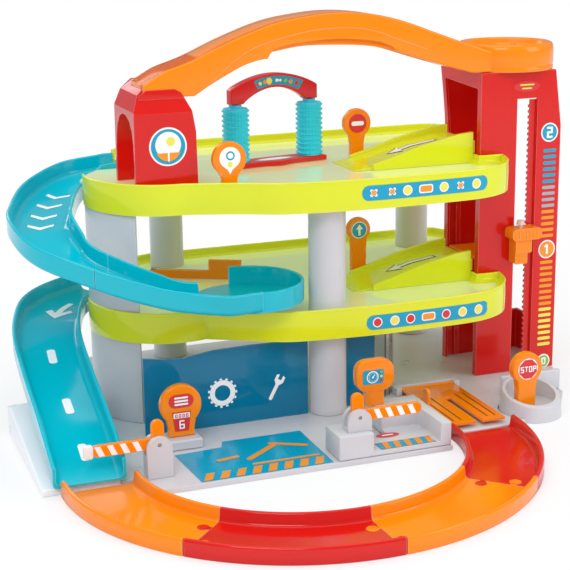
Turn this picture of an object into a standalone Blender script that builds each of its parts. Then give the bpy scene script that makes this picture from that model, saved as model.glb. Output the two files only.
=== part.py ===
# Toy garage with two decks, a hand-worked car lift, two slides and a floor track.
# +X runs along the front to the right, +Y to the back, +Z up. The origin is on the
# underside of the base, straight below the front post. Lengths are in metres.

import math

import bpy
import bmesh
import numpy as np
from mathutils import Matrix, Vector

mm = 0.001

# Fits
gap = 0.3 * mm
runningGap = 0.6 * mm
cutPast = 4 * mm
sink = 1.5 * mm

# Storeys
storey = 150 * mm
baseThick = 6 * mm
deckFloorTop = 131 * mm
deckFloorThick = 3 * mm
rimBelow = 25 * mm
rimHeight = 36 * mm
rimWall = 3.2 * mm
levels = 2

# Posts
postRadius = 22.5 * mm
postWall = 3 * mm
postSpots = {"front": (0.0, 0.0), "back_left": (-114.5 * mm, 288 * mm), "back_right": (232 * mm, 264 * mm)}

# Left lobe of the decks, which the curved panels and the slides follow
lobe = Vector((-168 * mm, 113 * mm))
lobeRadius = 96 * mm
panelInset = 7 * mm
panelRadius = lobeRadius - panelInset
panelWall = 4 * mm
panelFrom = math.radians(160)
panelTo = math.radians(236)

# Lift tower
towerX = (222 * mm, 334 * mm)
towerY = (46 * mm, 158 * mm)
towerTop = 391.7 * mm
towerBack = 142 * mm
flareFrom = 300 * mm
taperFrom = 322 * mm
taperTop = 324.8 * mm
towerWall = 3.5 * mm
doorY = (55.5 * mm, 133 * mm)
doorTop = (372 * mm, 377 * mm)
doorLean = 13 * mm
slotX = (271.9 * mm, 300.2 * mm)
slotZ = (12 * mm, 358 * mm)
liftRest = 160 * mm
liftThick = 3 * mm
liftAxis = (278 * mm, 100 * mm, liftRest)
capCentre = (277 * mm, 91 * mm)
capRadius = 60 * mm
archY = (48 * mm, 104 * mm)
rackPitch = 7 * mm
rackDepth = 2 * mm
rackReach = 8.1 * mm
rackValley = slotX[1] - rackReach
nubSpot = (273.8 * mm, 33.5 * mm)
knobX = (258.5 * mm, 299.5 * mm)
knobBodyX = (264.5 * mm, 287.5 * mm)
knobStemX = (264.5 * mm, 282 * mm)

# Slides
channelHeight = 24 * mm
channelFloor = 2.6 * mm
channelWall = 3.4 * mm
channelHalfWidths = (39.5 * mm, 37 * mm)
bowlCentre = Vector((-92 * mm, 20 * mm))
bowlRadius = 66 * mm
bowlBottom = 149 * mm
slideSeam = (-270 * mm, -8 * mm)
seamStep = 2.5 * mm

# Lines along the middle of the slides, at the height of their wall tops, in millimetres
upperPath = [
    (-200, 243, 288), (-232, 240, 284), (-262, 215, 277), (-288, 172, 271.5), (-309, 115, 264),
    (-319, 68, 257), (-305, 17, 237), (-258, -13, 213.5), (-198, -29, 191), (-146, -23, 177.5),
    (-116, -14, 175), (-103, -11.2, 174.6),
]
lowerPath = [
    (-225, 216, 143), (-256, 201, 141), (-284, 175, 138.5), (-303, 138, 134), (-317, 84, 119),
    (-319, 20, 93.5), (-318, -55, 63), (-318, -124.5, 33),
]

# Round podium of the stop sign
podiumCentre = Vector((226 * mm, -86 * mm))
podiumRadius = 37.5 * mm
podiumRim = 5 * mm
podiumHigh = 41 * mm
podiumFloor = 12 * mm

# Floor track
trackCentre = Vector((-83 * mm, -125 * mm))
trackReach = Vector((224.5 * mm, 216.5 * mm))
trackHalf = 42 * mm
trackHeight = 18 * mm
trackFloor = 4 * mm
trackWall = 6 * mm
trackJoints = (180, 225, 272, 318, 360)
endStep = 0.01
tabRadius = 6.5 * mm
tabReach = 8.3 * mm
tabOffset = 16.3 * mm

# Diverter gate of the first deck
gatePivot = Vector((-150 * mm, 224 * mm, deckFloorTop))
gateRest = math.radians(-28)

# Car wash rollers
rollerSpots = (Vector((-60 * mm, 148 * mm)), Vector((43 * mm, 166 * mm)))
rollerRadius = 17 * mm
rollerHub = 8 * mm
rollerLow = 288 * mm
rollerHigh = 354 * mm
spindleRadius = 3.4 * mm
rollerRidges = 8

# Barriers: pivot in X, Y and Z, which way the arm points along X, and its reach
barriers = {
    "left": (Vector((-243 * mm, -121 * mm, 43.5 * mm)), -1, 71 * mm),
    "right": (Vector((-22 * mm, -141 * mm, 50 * mm)), 1, 77 * mm),
}
barrierTab = 26 * mm

segmentsRound = 32
segmentsSmall = 16


def clearScene():
    for item in list(bpy.data.objects):
        bpy.data.objects.remove(item, do_unlink=True)


def newCollection(name):
    made = bpy.data.collections.new(name)
    bpy.context.scene.collection.children.link(made)
    return made


clearScene()
parts = newCollection("toy_garage")


def plastic(name, colour, roughness=0.25, alpha=1.0):
    made = bpy.data.materials.new(name)
    made.use_nodes = True
    shader = made.node_tree.nodes["Principled BSDF"]
    shader.inputs["Base Color"].default_value = (*colour, 1.0)
    shader.inputs["Roughness"].default_value = roughness
    shader.inputs["Metallic"].default_value = 0.0
    shader.inputs["Alpha"].default_value = alpha
    made.diffuse_color = (*colour, alpha)
    return made


palette = {
    "grey": ((0.58, 0.59, 0.63), 0.3, 1.0),
    "pale": ((0.80, 0.80, 0.82), 0.3, 1.0),
    "lime": ((0.62, 0.76, 0.04), 0.22, 1.0),
    "red": ((0.74, 0.03, 0.02), 0.2, 1.0),
    "orange": ((0.95, 0.29, 0.01), 0.22, 1.0),
    "turquoise": ((0.0, 0.47, 0.63), 0.18, 1.0),
    "screen_blue": ((0.0, 0.22, 0.45), 0.08, 0.55),
    "screen_smoke": ((0.25, 0.31, 0.32), 0.06, 0.4),
    "pin_steel": ((0.62, 0.62, 0.64), 0.35, 1.0),
    "nub_clear": ((0.85, 0.62, 0.62), 0.15, 1.0),
}


def finish(item, name, tone, smooth=True):
    """One finished piece: its own material, its place in the parts collection."""
    item.name = name
    item.data.name = name
    colour, roughness, alpha = palette[tone]
    item.data.materials.clear()
    item.data.materials.append(plastic(name, colour, roughness, alpha))
    for owner in list(item.users_collection):
        owner.objects.unlink(item)
    parts.objects.link(item)
    if smooth:
        item.data.shade_smooth()
        item.data.set_sharp_from_angle(angle=math.radians(35))
    return item


def setOrigin(item, place):
    """Moves the object's origin, not its shape, to a point on its joint axis."""
    item.data.transform(Matrix.Translation(-Vector(place)))
    item.location = place
    return item


def fromBmesh(shape, name):
    bmesh.ops.recalc_face_normals(shape, faces=shape.faces[:])
    data = bpy.data.meshes.new(name)
    shape.to_mesh(data)
    shape.free()
    made = bpy.data.objects.new(name, data)
    bpy.context.scene.collection.objects.link(made)
    return made


def box(x, y, z, name="box"):
    """A block between the two limits of each axis."""
    shape = bmesh.new()
    bmesh.ops.create_cube(shape, size=1.0)
    for axis, limits in enumerate((x, y, z)):
        for vert in shape.verts:
            vert.co[axis] = limits[0] if vert.co[axis] < 0 else limits[1]
    return fromBmesh(shape, name)


def cylinder(centre, radius, low, high, segments=segmentsRound, top=None, name="cylinder"):
    """An upright cylinder, or a cone frustum when top gives the upper radius."""
    shape = bmesh.new()
    bmesh.ops.create_cone(
        shape,
        cap_ends=True,
        segments=segments,
        radius1=radius,
        radius2=radius if top is None else top,
        depth=high - low,
        matrix=Matrix.Translation((centre[0], centre[1], (low + high) / 2)),
    )
    return fromBmesh(shape, name)


def rod(centre, radius, length, axis="Y", segments=segmentsSmall, name="rod"):
    """A lying cylinder centred on a point."""
    turn = Matrix.Rotation(math.pi / 2, 4, "X" if axis == "Y" else "Y")
    shape = bmesh.new()
    bmesh.ops.create_cone(
        shape,
        cap_ends=True,
        segments=segments,
        radius1=radius,
        radius2=radius,
        depth=length,
        matrix=Matrix.Translation(centre) @ turn,
    )
    return fromBmesh(shape, name)


planes = {
    "XY": Matrix.Identity(4),
    "XZ": Matrix(((1, 0, 0, 0), (0, 0, -1, 0), (0, 1, 0, 0), (0, 0, 0, 1))),
    "YZ": Matrix(((0, 0, 1, 0), (1, 0, 0, 0), (0, 1, 0, 0), (0, 0, 0, 1))),
}


def baked(item, name):
    """A mesh copy of a curve object in world space; the curve itself goes."""
    graph = bpy.context.evaluated_depsgraph_get()
    graph.update()
    data = bpy.data.meshes.new_from_object(item.evaluated_get(graph))
    data.transform(item.matrix_world)
    bpy.data.objects.remove(item, do_unlink=True)
    shape = bmesh.new()
    shape.from_mesh(data)
    bmesh.ops.remove_doubles(shape, verts=shape.verts[:], dist=0.00001)
    return fromBmesh(shape, name)


def plate(outline, low, high, plane="XY", name="plate"):
    """A flat outline given thickness from low to high along the plane's normal."""
    curve = bpy.data.curves.new(name, "CURVE")
    curve.dimensions = "2D"
    curve.fill_mode = "BOTH"
    line = curve.splines.new("POLY")
    line.points.add(len(outline) - 1)
    for point, place in zip(line.points, outline):
        point.co = (place[0], place[1], 0, 1)
    line.use_cyclic_u = True
    curve.extrude = (high - low) / 2
    item = bpy.data.objects.new(name, curve)
    bpy.context.scene.collection.objects.link(item)
    middle = (low + high) / 2
    item.matrix_world = planes[plane] @ Matrix.Translation((0, 0, -middle if plane == "XZ" else middle))
    bpy.context.view_layer.update()
    return baked(item, name)


def sweep(profile, path, name="sweep"):
    """A closed profile carried along a path, kept upright."""
    shapeData = bpy.data.curves.new(name + "_profile", "CURVE")
    shapeData.dimensions = "2D"
    line = shapeData.splines.new("POLY")
    line.points.add(len(profile) - 1)
    for point, place in zip(line.points, profile):
        point.co = (place[0], place[1], 0, 1)
    line.use_cyclic_u = True
    shapeItem = bpy.data.objects.new(name + "_profile", shapeData)
    bpy.context.scene.collection.objects.link(shapeItem)
    curve = bpy.data.curves.new(name, "CURVE")
    curve.dimensions = "3D"
    curve.twist_mode = "Z_UP"
    curve.bevel_mode = "OBJECT"
    curve.bevel_object = shapeItem
    curve.use_fill_caps = True
    line = curve.splines.new("POLY")
    line.points.add(len(path) - 1)
    for point, place in zip(line.points, path):
        point.co = (*place, 1)
    item = bpy.data.objects.new(name, curve)
    bpy.context.scene.collection.objects.link(item)
    bpy.context.view_layer.update()
    made = baked(item, name)
    bpy.data.objects.remove(shapeItem, do_unlink=True)
    return made


def turned(profile, centre, segments=segmentsRound, name="turned"):
    """A profile of (radius, height) turned about an upright axis with the Screw modifier."""
    data = bpy.data.meshes.new(name)
    ring = len(profile)
    data.from_pydata(
        [(radius, 0, height) for radius, height in profile],
        [(index, index + 1) for index in range(ring - 1)],
        [],
    )
    item = bpy.data.objects.new(name, data)
    bpy.context.scene.collection.objects.link(item)
    screw = item.modifiers.new("turn", "SCREW")
    screw.axis = "Z"
    screw.steps = segments
    screw.render_steps = segments
    screw.use_merge_vertices = True
    screw.merge_threshold = 0.00005
    item.location = (centre[0], centre[1], 0)
    bpy.context.view_layer.update()
    return baked(item, name)


def boolean(target, tool, operation="DIFFERENCE"):
    """Cuts or joins with a hidden helper, at once, and drops the helper."""
    modifier = target.modifiers.new(operation.lower(), "BOOLEAN")
    modifier.operation = operation
    modifier.solver = "EXACT"
    modifier.object = tool
    graph = bpy.context.evaluated_depsgraph_get()
    graph.update()
    data = bpy.data.meshes.new_from_object(target.evaluated_get(graph))
    shape = bmesh.new()
    shape.from_mesh(data)
    bmesh.ops.remove_doubles(shape, verts=shape.verts[:], dist=0.000005)
    bmesh.ops.dissolve_degenerate(shape, edges=shape.edges[:], dist=0.000002)
    shape.to_mesh(data)
    shape.free()
    target.modifiers.clear()
    old = target.data
    target.data = data
    bpy.data.meshes.remove(old)
    bpy.data.objects.remove(tool, do_unlink=True)
    return target


def cut(target, *tools):
    for tool in tools:
        boolean(target, tool)
    return target


def join(target, *tools):
    for tool in tools:
        boolean(target, tool, "UNION")
    return target


def soften(item, width=1.0 * mm, segments=1, limit=40):
    """Rounds the sharp edges a little, as moulded plastic is."""
    bevel = item.modifiers.new("soft_edges", "BEVEL")
    bevel.width = width
    bevel.segments = segments
    bevel.limit_method = "ANGLE"
    bevel.angle_limit = math.radians(limit)
    bevel.use_clamp_overlap = True
    return item


def smoothPath(knots, count, closed=False):
    """Points evenly spaced on a smooth curve through the knots (Catmull-Rom)."""
    knots = np.array(knots, float)
    if closed:
        padded = np.vstack([knots[-1:], knots, knots[:2]])
    else:
        padded = np.vstack([2 * knots[0] - knots[1], knots, 2 * knots[-1] - knots[-2]])
    fine = []
    for a, b, c, d in zip(padded[:-3], padded[1:-2], padded[2:-1], padded[3:]):
        for t in np.linspace(0, 1, 24, endpoint=False):
            fine.append(
                0.5
                * (
                    2 * b
                    + (c - a) * t
                    + (2 * a - 5 * b + 4 * c - d) * t**2
                    + (3 * b - a - 3 * c + d) * t**3
                )
            )
    fine.append(padded[-2] if not closed else fine[0])
    fine = np.array(fine)
    along = np.concatenate([[0], np.cumsum(np.linalg.norm(np.diff(fine, axis=0), axis=1))])
    wanted = np.linspace(0, along[-1], count, endpoint=not closed)
    return np.stack([np.interp(wanted, along, fine[:, axis]) for axis in range(fine.shape[1])], axis=1)


def inset(outline, distance):
    """A closed outline moved inwards (anticlockwise outlines) by a distance."""
    outline = np.array(outline, float)
    before = outline - np.roll(outline, 1, axis=0)
    after = np.roll(outline, -1, axis=0) - outline
    before /= np.linalg.norm(before, axis=1)[:, None]
    after /= np.linalg.norm(after, axis=1)[:, None]
    normals = np.stack([-(before + after)[:, 1], (before + after)[:, 0]], axis=1)
    normals /= np.linalg.norm(normals, axis=1)[:, None]
    corner = np.sqrt(np.clip((1 + (before * after).sum(axis=1)) / 2, 0.4, 1))
    return outline + normals * (distance / corner)[:, None]


def arc(centre, radius, start, end, count):
    turn = np.linspace(start, end, count)
    return np.stack([centre[0] + radius * np.cos(turn), centre[1] + radius * np.sin(turn)], axis=1)


def roundedRectangle(x, y, radius, steps=4):
    corners = (
        (x[1] - radius, y[0] + radius, -math.pi / 2),
        (x[1] - radius, y[1] - radius, 0),
        (x[0] + radius, y[1] - radius, math.pi / 2),
        (x[0] + radius, y[0] + radius, math.pi),
    )
    return np.vstack([arc(c[:2], radius, c[2], c[2] + math.pi / 2, steps + 1) for c in corners])


# Base
def buildBase():
    trackEnd = trackCentre.y / mm + 0.6
    outline = [
        (-256, -160), (86.5, -160), (90, trackEnd), (183.4, trackEnd), (262, -95), (296, -44), (297, -30),
        (334, 44), (334, 166), (300, 318), (-232, 318), (-284, 244), (-284, -120), (-261.6, -120),
    ]
    base = plate([(x * mm, y * mm) for x, y in outline], 0, baseThick)
    cut(base, cylinder(podiumCentre, podiumRadius + 2 * gap, -cutPast, baseThick + cutPast))
    finish(soften(base, 1.2 * mm), "base_plate", "grey")

    low, high = baseThick + gap, 34 * mm
    block = box((-50 * mm, 85 * mm), (-159 * mm, -59 * mm), (low, high))
    cut(
        block,
        box((-9 * mm, 72 * mm), (-170 * mm, -98 * mm), (12 * mm, high + cutPast)),
        box((-60 * mm, 26 * mm), (-116 * mm, -50 * mm), (0, high + cutPast)),
    )
    finish(soften(block, 1.6 * mm, 2), "front_kerb_block", "grey")

    plinth = box((-222 * mm, -175 * mm), (-62 * mm, -28 * mm), (low, 18 * mm))
    finish(soften(plinth, 1.5 * mm), "pump_plinth", "grey")

    wedge = [(-120, 0), (86, 0), (86, 34), (64, 38), (-60, 18), (-120, 8)]
    foot = plate([(y * mm, z * mm) for y, z in wedge], -368 * mm, -284 * mm - gap, "YZ")
    finish(soften(foot, 1.2 * mm), "slide_foot_wedge", "pale")

    # The cup's rim slopes up towards the wall behind it
    inner = podiumRadius - podiumRim - 3.4 * mm
    cup = [
        (0, podiumFloor), (inner, podiumFloor), (inner + 0.4 * mm, podiumHigh),
        (inner + 3.4 * mm, podiumHigh), (podiumRadius, 0), (0, 0),
    ]
    podium = turned(cup, podiumCentre)
    slope = [(-140, 12.9), (-30, 44), (-30, 60), (-140, 60)]
    cut(podium, plate([(y * mm, z * mm) for y, z in slope], 170 * mm, 280 * mm, "YZ"))
    finish(podium, "sign_podium", "grey")
    wall = box((214 * mm, 296 * mm), (-37.2 * mm, -31 * mm), (low, 31.5 * mm))
    finish(soften(wall, 1.5 * mm, 2), "podium_wall", "grey")


def buildPosts():
    low = (baseThick + gap, deckFloorTop + gap)
    high = (deckFloorTop - deckFloorThick - gap, deckFloorTop + storey - deckFloorThick - gap)
    for level, storeyName in enumerate(("lower", "upper")):
        for spot, centre in postSpots.items():
            post = cylinder(centre, postRadius, low[level], high[level])
            cut(post, cylinder(centre, postRadius - postWall, low[level] - cutPast, high[level] - postWall))
            finish(post, f"{spot}_post_{storeyName}", "grey")
        outer = arc(lobe, panelRadius, panelFrom, panelTo, 15)
        inner = arc(lobe, panelRadius - panelWall, panelTo, panelFrom, 15)
        finish(plate(np.vstack([outer, inner]), low[level], high[level]), f"side_panel_{storeyName}", "grey")


# Decks
def deckOutline(soft):
    """The deck from above, anticlockwise: main tray with the round lobe on its left."""
    junction = (-104, -6) if soft else (-104, -2)
    front = [(-60, -27), (0, -37), (60, -41), (130, -40), (185, -35), (222, -16), (243, 12), (252, 40)]
    right = [(252, 45), (221.4, 45), (221.4, 159), (288, 159), (300, 176), (300, 282), (288, 308), (262, 318)]
    back = [(-130, 318), (-168, 302), (-202, 260), (-226, 220), (-247, 176), (-260, 146)]
    frontCurve = smoothPath(np.array([junction] + front) * mm, 22)
    lobeArc = arc(lobe, lobeRadius, math.radians(172), math.radians(270 if soft else 286), 15)
    backCurve = smoothPath(np.array(back) * mm, 12)
    if soft:
        joining = smoothPath(np.array([tuple(lobeArc[-1] / mm), (-134, 6), junction]) * mm, 6)[1:-1]
    else:
        joining = np.array([(-138, 18)]) * mm
    return np.vstack([frontCurve, np.array(right[1:]) * mm, backCurve, lobeArc, joining])


def slidePath(level):
    """The middle line of the slide that leaves a deck, at the height of its wall tops."""
    knots, count = ((lowerPath, 26), (upperPath, 34))[level]
    return smoothPath(np.array(knots) * mm, count)


def buildDecks():
    ledge = 3 * mm
    ledgeThick = 2 * mm
    for level in range(levels):
        floorTop = deckFloorTop + level * storey
        floorLow = floorTop - deckFloorThick
        rimLow = floorTop - rimBelow
        rimHigh = rimLow + rimHeight
        outline = deckOutline(level == 1)
        floor = plate(inset(outline, rimWall + gap), floorLow, floorTop)
        rim = plate(outline, rimLow, rimHigh)
        cut(
            rim,
            plate(inset(outline, rimWall), floorLow - gap, rimHigh + cutPast),
            plate(inset(outline, rimWall), rimLow - cutPast, floorLow - gap - ledgeThick),
            plate(inset(outline, rimWall + ledge), rimLow - cutPast, rimHigh + cutPast),
        )
        path = slidePath(level)[:14]
        path[0] += path[0] - path[1]
        clear = channelHalfWidths[level] + 2 * gap
        under = -channelHeight - gap
        envelope = [(-clear, under), (clear, under), (clear, storey / 5), (-clear, storey / 5)]
        for item, name in ((floor, f"deck_{level + 1}_floor"), (rim, f"deck_{level + 1}_rim")):
            cut(item, sweep(envelope, path))
            finish(item, name, "lime")
        buildRamp(level, floorTop + gap)


def buildRamp(level, rampLow):
    """The ramp up to the lift's door, with its two side walls."""
    rise = (liftRest - 2 * mm - deckFloorTop) / mm
    lip = (rimHeight - rimBelow) / mm + 0.6
    curve = [(x, share * rise) for x, share in ((150, 0.741), (110, 0.333), (84, 0.111))]
    slope = [(60, 0), (217.8, 0), (217.8, lip), (221.6, lip), (221.6, rise), (196, rise), *curve, (60, 0.8)]
    wallLine = [(84, 0), (217.8, 0), (217.8, rise + 11), (196, rise + 9)]
    wallLine += [(x, z + over) for (x, z), over in zip(curve, (6, 5, 4))]
    ramp = plate([(x * mm, rampLow + z * mm) for x, z in slope], 60 * mm, 132 * mm, "XZ")
    for side in (57, 129):
        line = [(x * mm, rampLow + z * mm) for x, z in wallLine]
        join(ramp, plate(line, side * mm, (side + 6) * mm, "XZ"))
    finish(ramp, f"exit_ramp_{level + 1}", "lime")


# Lift tower
def towerSide(wall, low, high):
    """The tower from its side: an upright shaft whose back leans out near the top."""
    front, back = towerY[0] + wall, towerBack - wall
    lean = towerY[1] - towerBack
    rise = towerTop - flareFrom
    return [
        (front, low), (back, low), (back, flareFrom), (back + 0.2 * lean, flareFrom + 0.33 * rise),
        (back + 0.55 * lean, flareFrom + 0.66 * rise), (back + lean, towerTop), (back + lean, high),
        (front, high),
    ]


def towerTaper(wall):
    """What the top right of the tower loses to its inward slope."""
    right, edge, past = towerX[1] - wall, taperTop - wall, towerX[1] + cutPast
    high = towerTop + 2 * cutPast
    line = [(right, taperFrom), (edge, towerTop), (edge, high), (past, high), (past, taperFrom)]
    return plate(line, towerY[0] - cutPast, towerY[1] + cutPast, "XZ")


def towerDoor(low):
    """The opening towards the decks, whose back edge leans out with the tower's back."""
    front, back = doorY
    line = [
        (front, low), (back, low), (back, flareFrom), (back + 0.3 * doorLean, flareFrom + 30 * mm),
        (back + doorLean, doorTop[1]), (front, doorTop[0]),
    ]
    return plate(line, towerX[0] - cutPast, towerX[0] + 2 * towerWall, "YZ")


def buildTower():
    low = baseThick + gap
    shell = plate(towerSide(0, low, towerTop + 0.01 * mm), *towerX, "YZ")
    cut(shell, towerTaper(0))
    inner = (towerX[0] + towerWall, towerX[1] - towerWall)
    room = plate(towerSide(towerWall, low - cutPast, towerTop + cutPast), *inner, "YZ")
    cut(room, towerTaper(towerWall))
    window = (60 * mm, 366 * mm)
    cut(
        shell,
        room,
        towerDoor(low - cutPast),
        box(slotX, (towerY[0] - cutPast, towerY[0] + 2 * towerWall), slotZ),
        box((towerX[1] - 30 * mm, towerX[1] + cutPast), (towerY[0] + 42 * mm, towerY[1] + cutPast), window),
    )
    finish(shell, "tower_shell", "red")
    buildRack()
    behind = towerBack - towerWall
    rail = box((236 * mm, 242 * mm), (behind - 3.5 * mm, behind - gap), (low + 2 * mm, flareFrom))
    finish(rail, "lift_guide_rail", "red")


def buildRack():
    """A toothed strip behind the slot, which the knob's latch holds on to."""
    low, high = slotZ[0] + 2 * mm, slotZ[1] - 2 * mm
    right = slotX[1] + 3.2 * mm
    tip = rackValley - rackDepth
    outline = [(right, low), (rackValley, low)]
    for index in range(int((high - low - 4 * mm) / rackPitch)):
        z = low + 2 * mm + index * rackPitch
        outline += [
            (rackValley, z), (tip, z + 0.25 * rackPitch), (tip, z + 0.5 * rackPitch),
            (rackValley, z + 0.75 * rackPitch),
        ]
    outline += [(rackValley, high), (right, high)]
    back = towerY[0] + towerWall + gap
    finish(plate(outline, back, back + 3 * mm, "XZ"), "tower_rack", "red", smooth=False)


def buildArch():
    """Round cap and carrying arch in one piece, hollow from below."""
    seat = towerTop + gap
    dish = [(0, 416), (44, 416), (48, 419), (51, 425), (56, 425), (59, 421), (60, 412)]
    profile = [(r * mm, z * mm) for r, z in dish] + [(capRadius, seat), (0, seat)]
    cap = turned(profile, capCentre, 40)
    top = [
        (-200, 400), (-186, 408), (-172, 416), (-140, 424.5), (-95, 443.5), (-45, 461), (0, 469), (38, 471.5),
        (78, 468), (118, 459), (160, 443), (196, 430), (216, 425), (228, 423), (232, 415.6), (250, 415.6),
    ]
    under = [
        (250, 392.3), (214, 392.3), (200, 396), (184, 400), (150, 409), (112, 423), (76, 431), (36, 434),
        (-8, 435.5), (-44, 430), (-51, 423), (-66, 421), (-85, 416), (-118, 397.5), (-140, 384.6),
        (-200, 384.6),
    ]
    arch = plate(np.array(top + under) * mm, *archY, "XZ")
    grip = smoothPath(np.array([(-40, 432), (-4, 440), (36, 441), (76, 437), (104, 429)]) * mm, 9)
    finger = np.vstack([grip, [(104 * mm, 400 * mm), (-40 * mm, 400 * mm)]])
    cut(arch, plate(finger, archY[0] - 8 * mm, archY[0] + 8 * mm, "XZ"))
    roof = [
        (-132, 423), (-93, 440), (-44, 457.5), (0, 465.5), (38, 468), (77, 464.5), (117, 455.5), (156, 440.5),
        (168, 436),
    ]
    hollow = np.array([(-132, 370), (168, 370)] + roof[::-1]) * mm
    cut(arch, plate(hollow, archY[0] + 11 * mm, archY[1] - 3 * mm, "XZ"))
    join(cap, arch)
    cut(cap, cylinder(capCentre, capRadius - 4 * mm, seat - cutPast, 412 * mm, 40))
    tongueLeft = towerX[0] + towerWall + 2 * mm
    join(cap, box((tongueLeft, tongueLeft + 5 * mm), (70 * mm, 96 * mm), (379 * mm, 414 * mm)))
    finish(cap, "arch_handle", "orange")


def buildLift():
    floor = (towerX[0] + 2 * mm, towerX[1] - towerWall - 2 * mm)
    depth = (doorY[0] + 2 * mm, doorY[1] - 2 * mm)
    slab = box(floor, depth, (liftRest - liftThick, liftRest))
    kerb = box((floor[1] - 3 * mm, floor[1]), depth, (liftRest - sink, liftRest + 16 * mm))
    neckX = (slotX[0] + runningGap, rackValley - rackDepth - 1 * mm)
    neckBack = towerY[0] + towerWall + 5 * mm
    bracket = box(neckX, (neckBack, depth[0] + 6 * mm), (liftRest - liftThick, liftRest + 22 * mm))
    join(slab, kerb, bracket)
    setOrigin(finish(slab, "lift_platform", "orange"), liftAxis)

    neck = box(neckX, (towerY[0] - 4 * mm, neckBack - gap), (liftRest + 1 * mm, liftRest + 21 * mm))
    front = towerY[0] - runningGap
    capLine = roundedRectangle(knobX, (184 * mm, 199 * mm), 5 * mm)
    bodyLine = roundedRectangle(knobBodyX, (167 * mm, 186 * mm), 2 * mm, 2)
    stemLine = roundedRectangle(knobStemX, (153 * mm, 172 * mm), 2 * mm, 2)
    knob = plate(capLine, 24 * mm, front, "XZ")
    body = plate(bodyLine, 27 * mm, front - 0.5 * mm, "XZ")
    stem = plate(stemLine, 28 * mm, front - 1 * mm, "XZ")
    join(knob, body, stem, neck)
    cut(knob, cylinder(nubSpot, 3.4 * mm, 190 * mm, 212 * mm, segmentsSmall))
    setOrigin(finish(knob, "lift_knob", "orange"), liftAxis)

    nubLow = 193.5 * mm
    nub = cylinder(nubSpot, 2.8 * mm, nubLow, 205 * mm, segmentsSmall)
    join(nub, cylinder(nubSpot, 5.4 * mm, 203 * mm, 208 * mm, segmentsSmall, 4.4 * mm))
    setOrigin(finish(nub, "lift_release_nub", "nub_clear"), (*nubSpot, nubLow))


# Hood over the upper slide's entrance
def buildHood():
    low = deckFloorTop + storey + gap
    front, back = 38 * mm, 128 * mm
    left, right = -240 * mm, -130 * mm
    face = [
        (-216, 0), (-142, 0), (-143, 66), (-147, 90), (-156, 110), (-168, 119), (-194, 119), (-207, 108),
        (-215, 90),
    ]
    hood = plate([(x * mm, low + z * mm) for x, z in face], front, back, "XZ")
    side = [(41.5, -6), (41.5, 44), (47, 66), (62, 80), (88, 84), (110, 74), (122, 46), (122, -6)]
    room = smoothPath(np.array(side) * mm, 16)
    chamfer = [(-8, 74), (0, 88), (20, 120), (20, 130), (-8, 130)]
    cut(
        hood,
        plate([(y, low + z) for y, z in room], left, right, "YZ"),
        plate([(front + y * mm, low + z * mm) for y, z in chamfer], left, right, "YZ"),
        box((-200.4 * mm, right), (archY[0] - 0.4 * mm, archY[1] + 0.4 * mm), (384 * mm, 430 * mm)),
    )
    finish(hood, "slide_hood", "red")


# Car wash
def buildWash():
    floor = deckFloorTop + storey
    a, b = rollerSpots
    along = (b - a).normalized()
    across = Vector((-along.y, along.x))
    ends = [a - along * 17 * mm, b + along * 17 * mm]
    half = 15 * mm
    waist = 22 * mm
    outline = [
        ends[0] - across * half, a + along * 32 * mm - across * half, (a + b) / 2 - across * waist,
        b - along * 32 * mm - across * half, ends[1] - across * half, ends[1] + across * half,
        ends[0] + across * half,
    ]
    base = plate(outline, floor + gap, rollerLow - runningGap)
    for spot in rollerSpots:
        join(base, cylinder(spot, spindleRadius, floor + 5 * mm, rollerHigh + 8 * mm, segmentsSmall))
    finish(base, "wash_base", "red")

    span = (b - a).length / mm
    foot = 8.5
    shares = np.linspace(0, 1, 13)
    bow = np.sin(math.pi * shares) ** 0.8
    crown = [(-foot + share * (span + 2 * foot), 376 + 17.7 * rise) for share, rise in zip(shares, bow)]
    inner = span - 2 * foot
    soffit = [(span - foot - share * inner, 359 + 17.6 * rise) for share, rise in zip(shares, bow)]
    outline = [(-foot, 359)] + crown + [(span + foot, 359)] + soffit
    arch = plate([(x * mm, z * mm) for x, z in outline], -7 * mm, 7 * mm, "XZ")
    turn = Matrix.Rotation(math.atan2(along.y, along.x), 4, "Z")
    arch.data.transform(Matrix.Translation((a.x, a.y, 0)) @ turn)
    for spot in rollerSpots:
        hole = (340 * mm, rollerHigh + 8 * mm + gap)
        cut(arch, cylinder(spot, spindleRadius + gap, *hole, segmentsSmall))
    finish(arch, "wash_arch", "red")

    for side, spot in zip(("left", "right"), rollerSpots):
        roller = turned(rollerProfile(), spot, 16)
        setOrigin(finish(roller, f"wash_roller_{side}", "turquoise"), (*spot, rollerLow))


def rollerProfile():
    """Radius and height round a ribbed sleeve, closed along its bore."""
    bore = spindleRadius + runningGap
    valley = rollerRadius - 2.5 * mm
    top = rollerHigh + 4 * mm
    profile = [(rollerHub, top), (rollerHub, rollerHigh)]
    pitch = (rollerHigh - rollerLow) / rollerRidges
    for index in range(rollerRidges):
        z = rollerHigh - index * pitch
        profile += [
            (valley, z - 0.1 * pitch), (rollerRadius, z - 0.35 * pitch), (rollerRadius, z - 0.65 * pitch),
            (valley, z - 0.9 * pitch),
        ]
    return profile + [(rollerHub, rollerLow), (bore, rollerLow), (bore, top), (rollerHub, top)]


# Signs and stations
def signOutline(centreX, low, top, headHalf, stemHalf, steps=16):
    """A round head on a stem that widens softly into it."""
    headZ = top - headHalf
    start = -math.pi / 2 + math.asin(min(stemHalf / headHalf, 0.95)) + 0.12
    head = arc((centreX, headZ), headHalf, start, math.pi - start, steps)
    flare = low + (headZ - headHalf - low) * 0.7
    return np.vstack([[(centreX + stemHalf, low)], [(centreX + stemHalf, flare)], head,
                      [(centreX - stemHalf, flare)], [(centreX - stemHalf, low)]])


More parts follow.
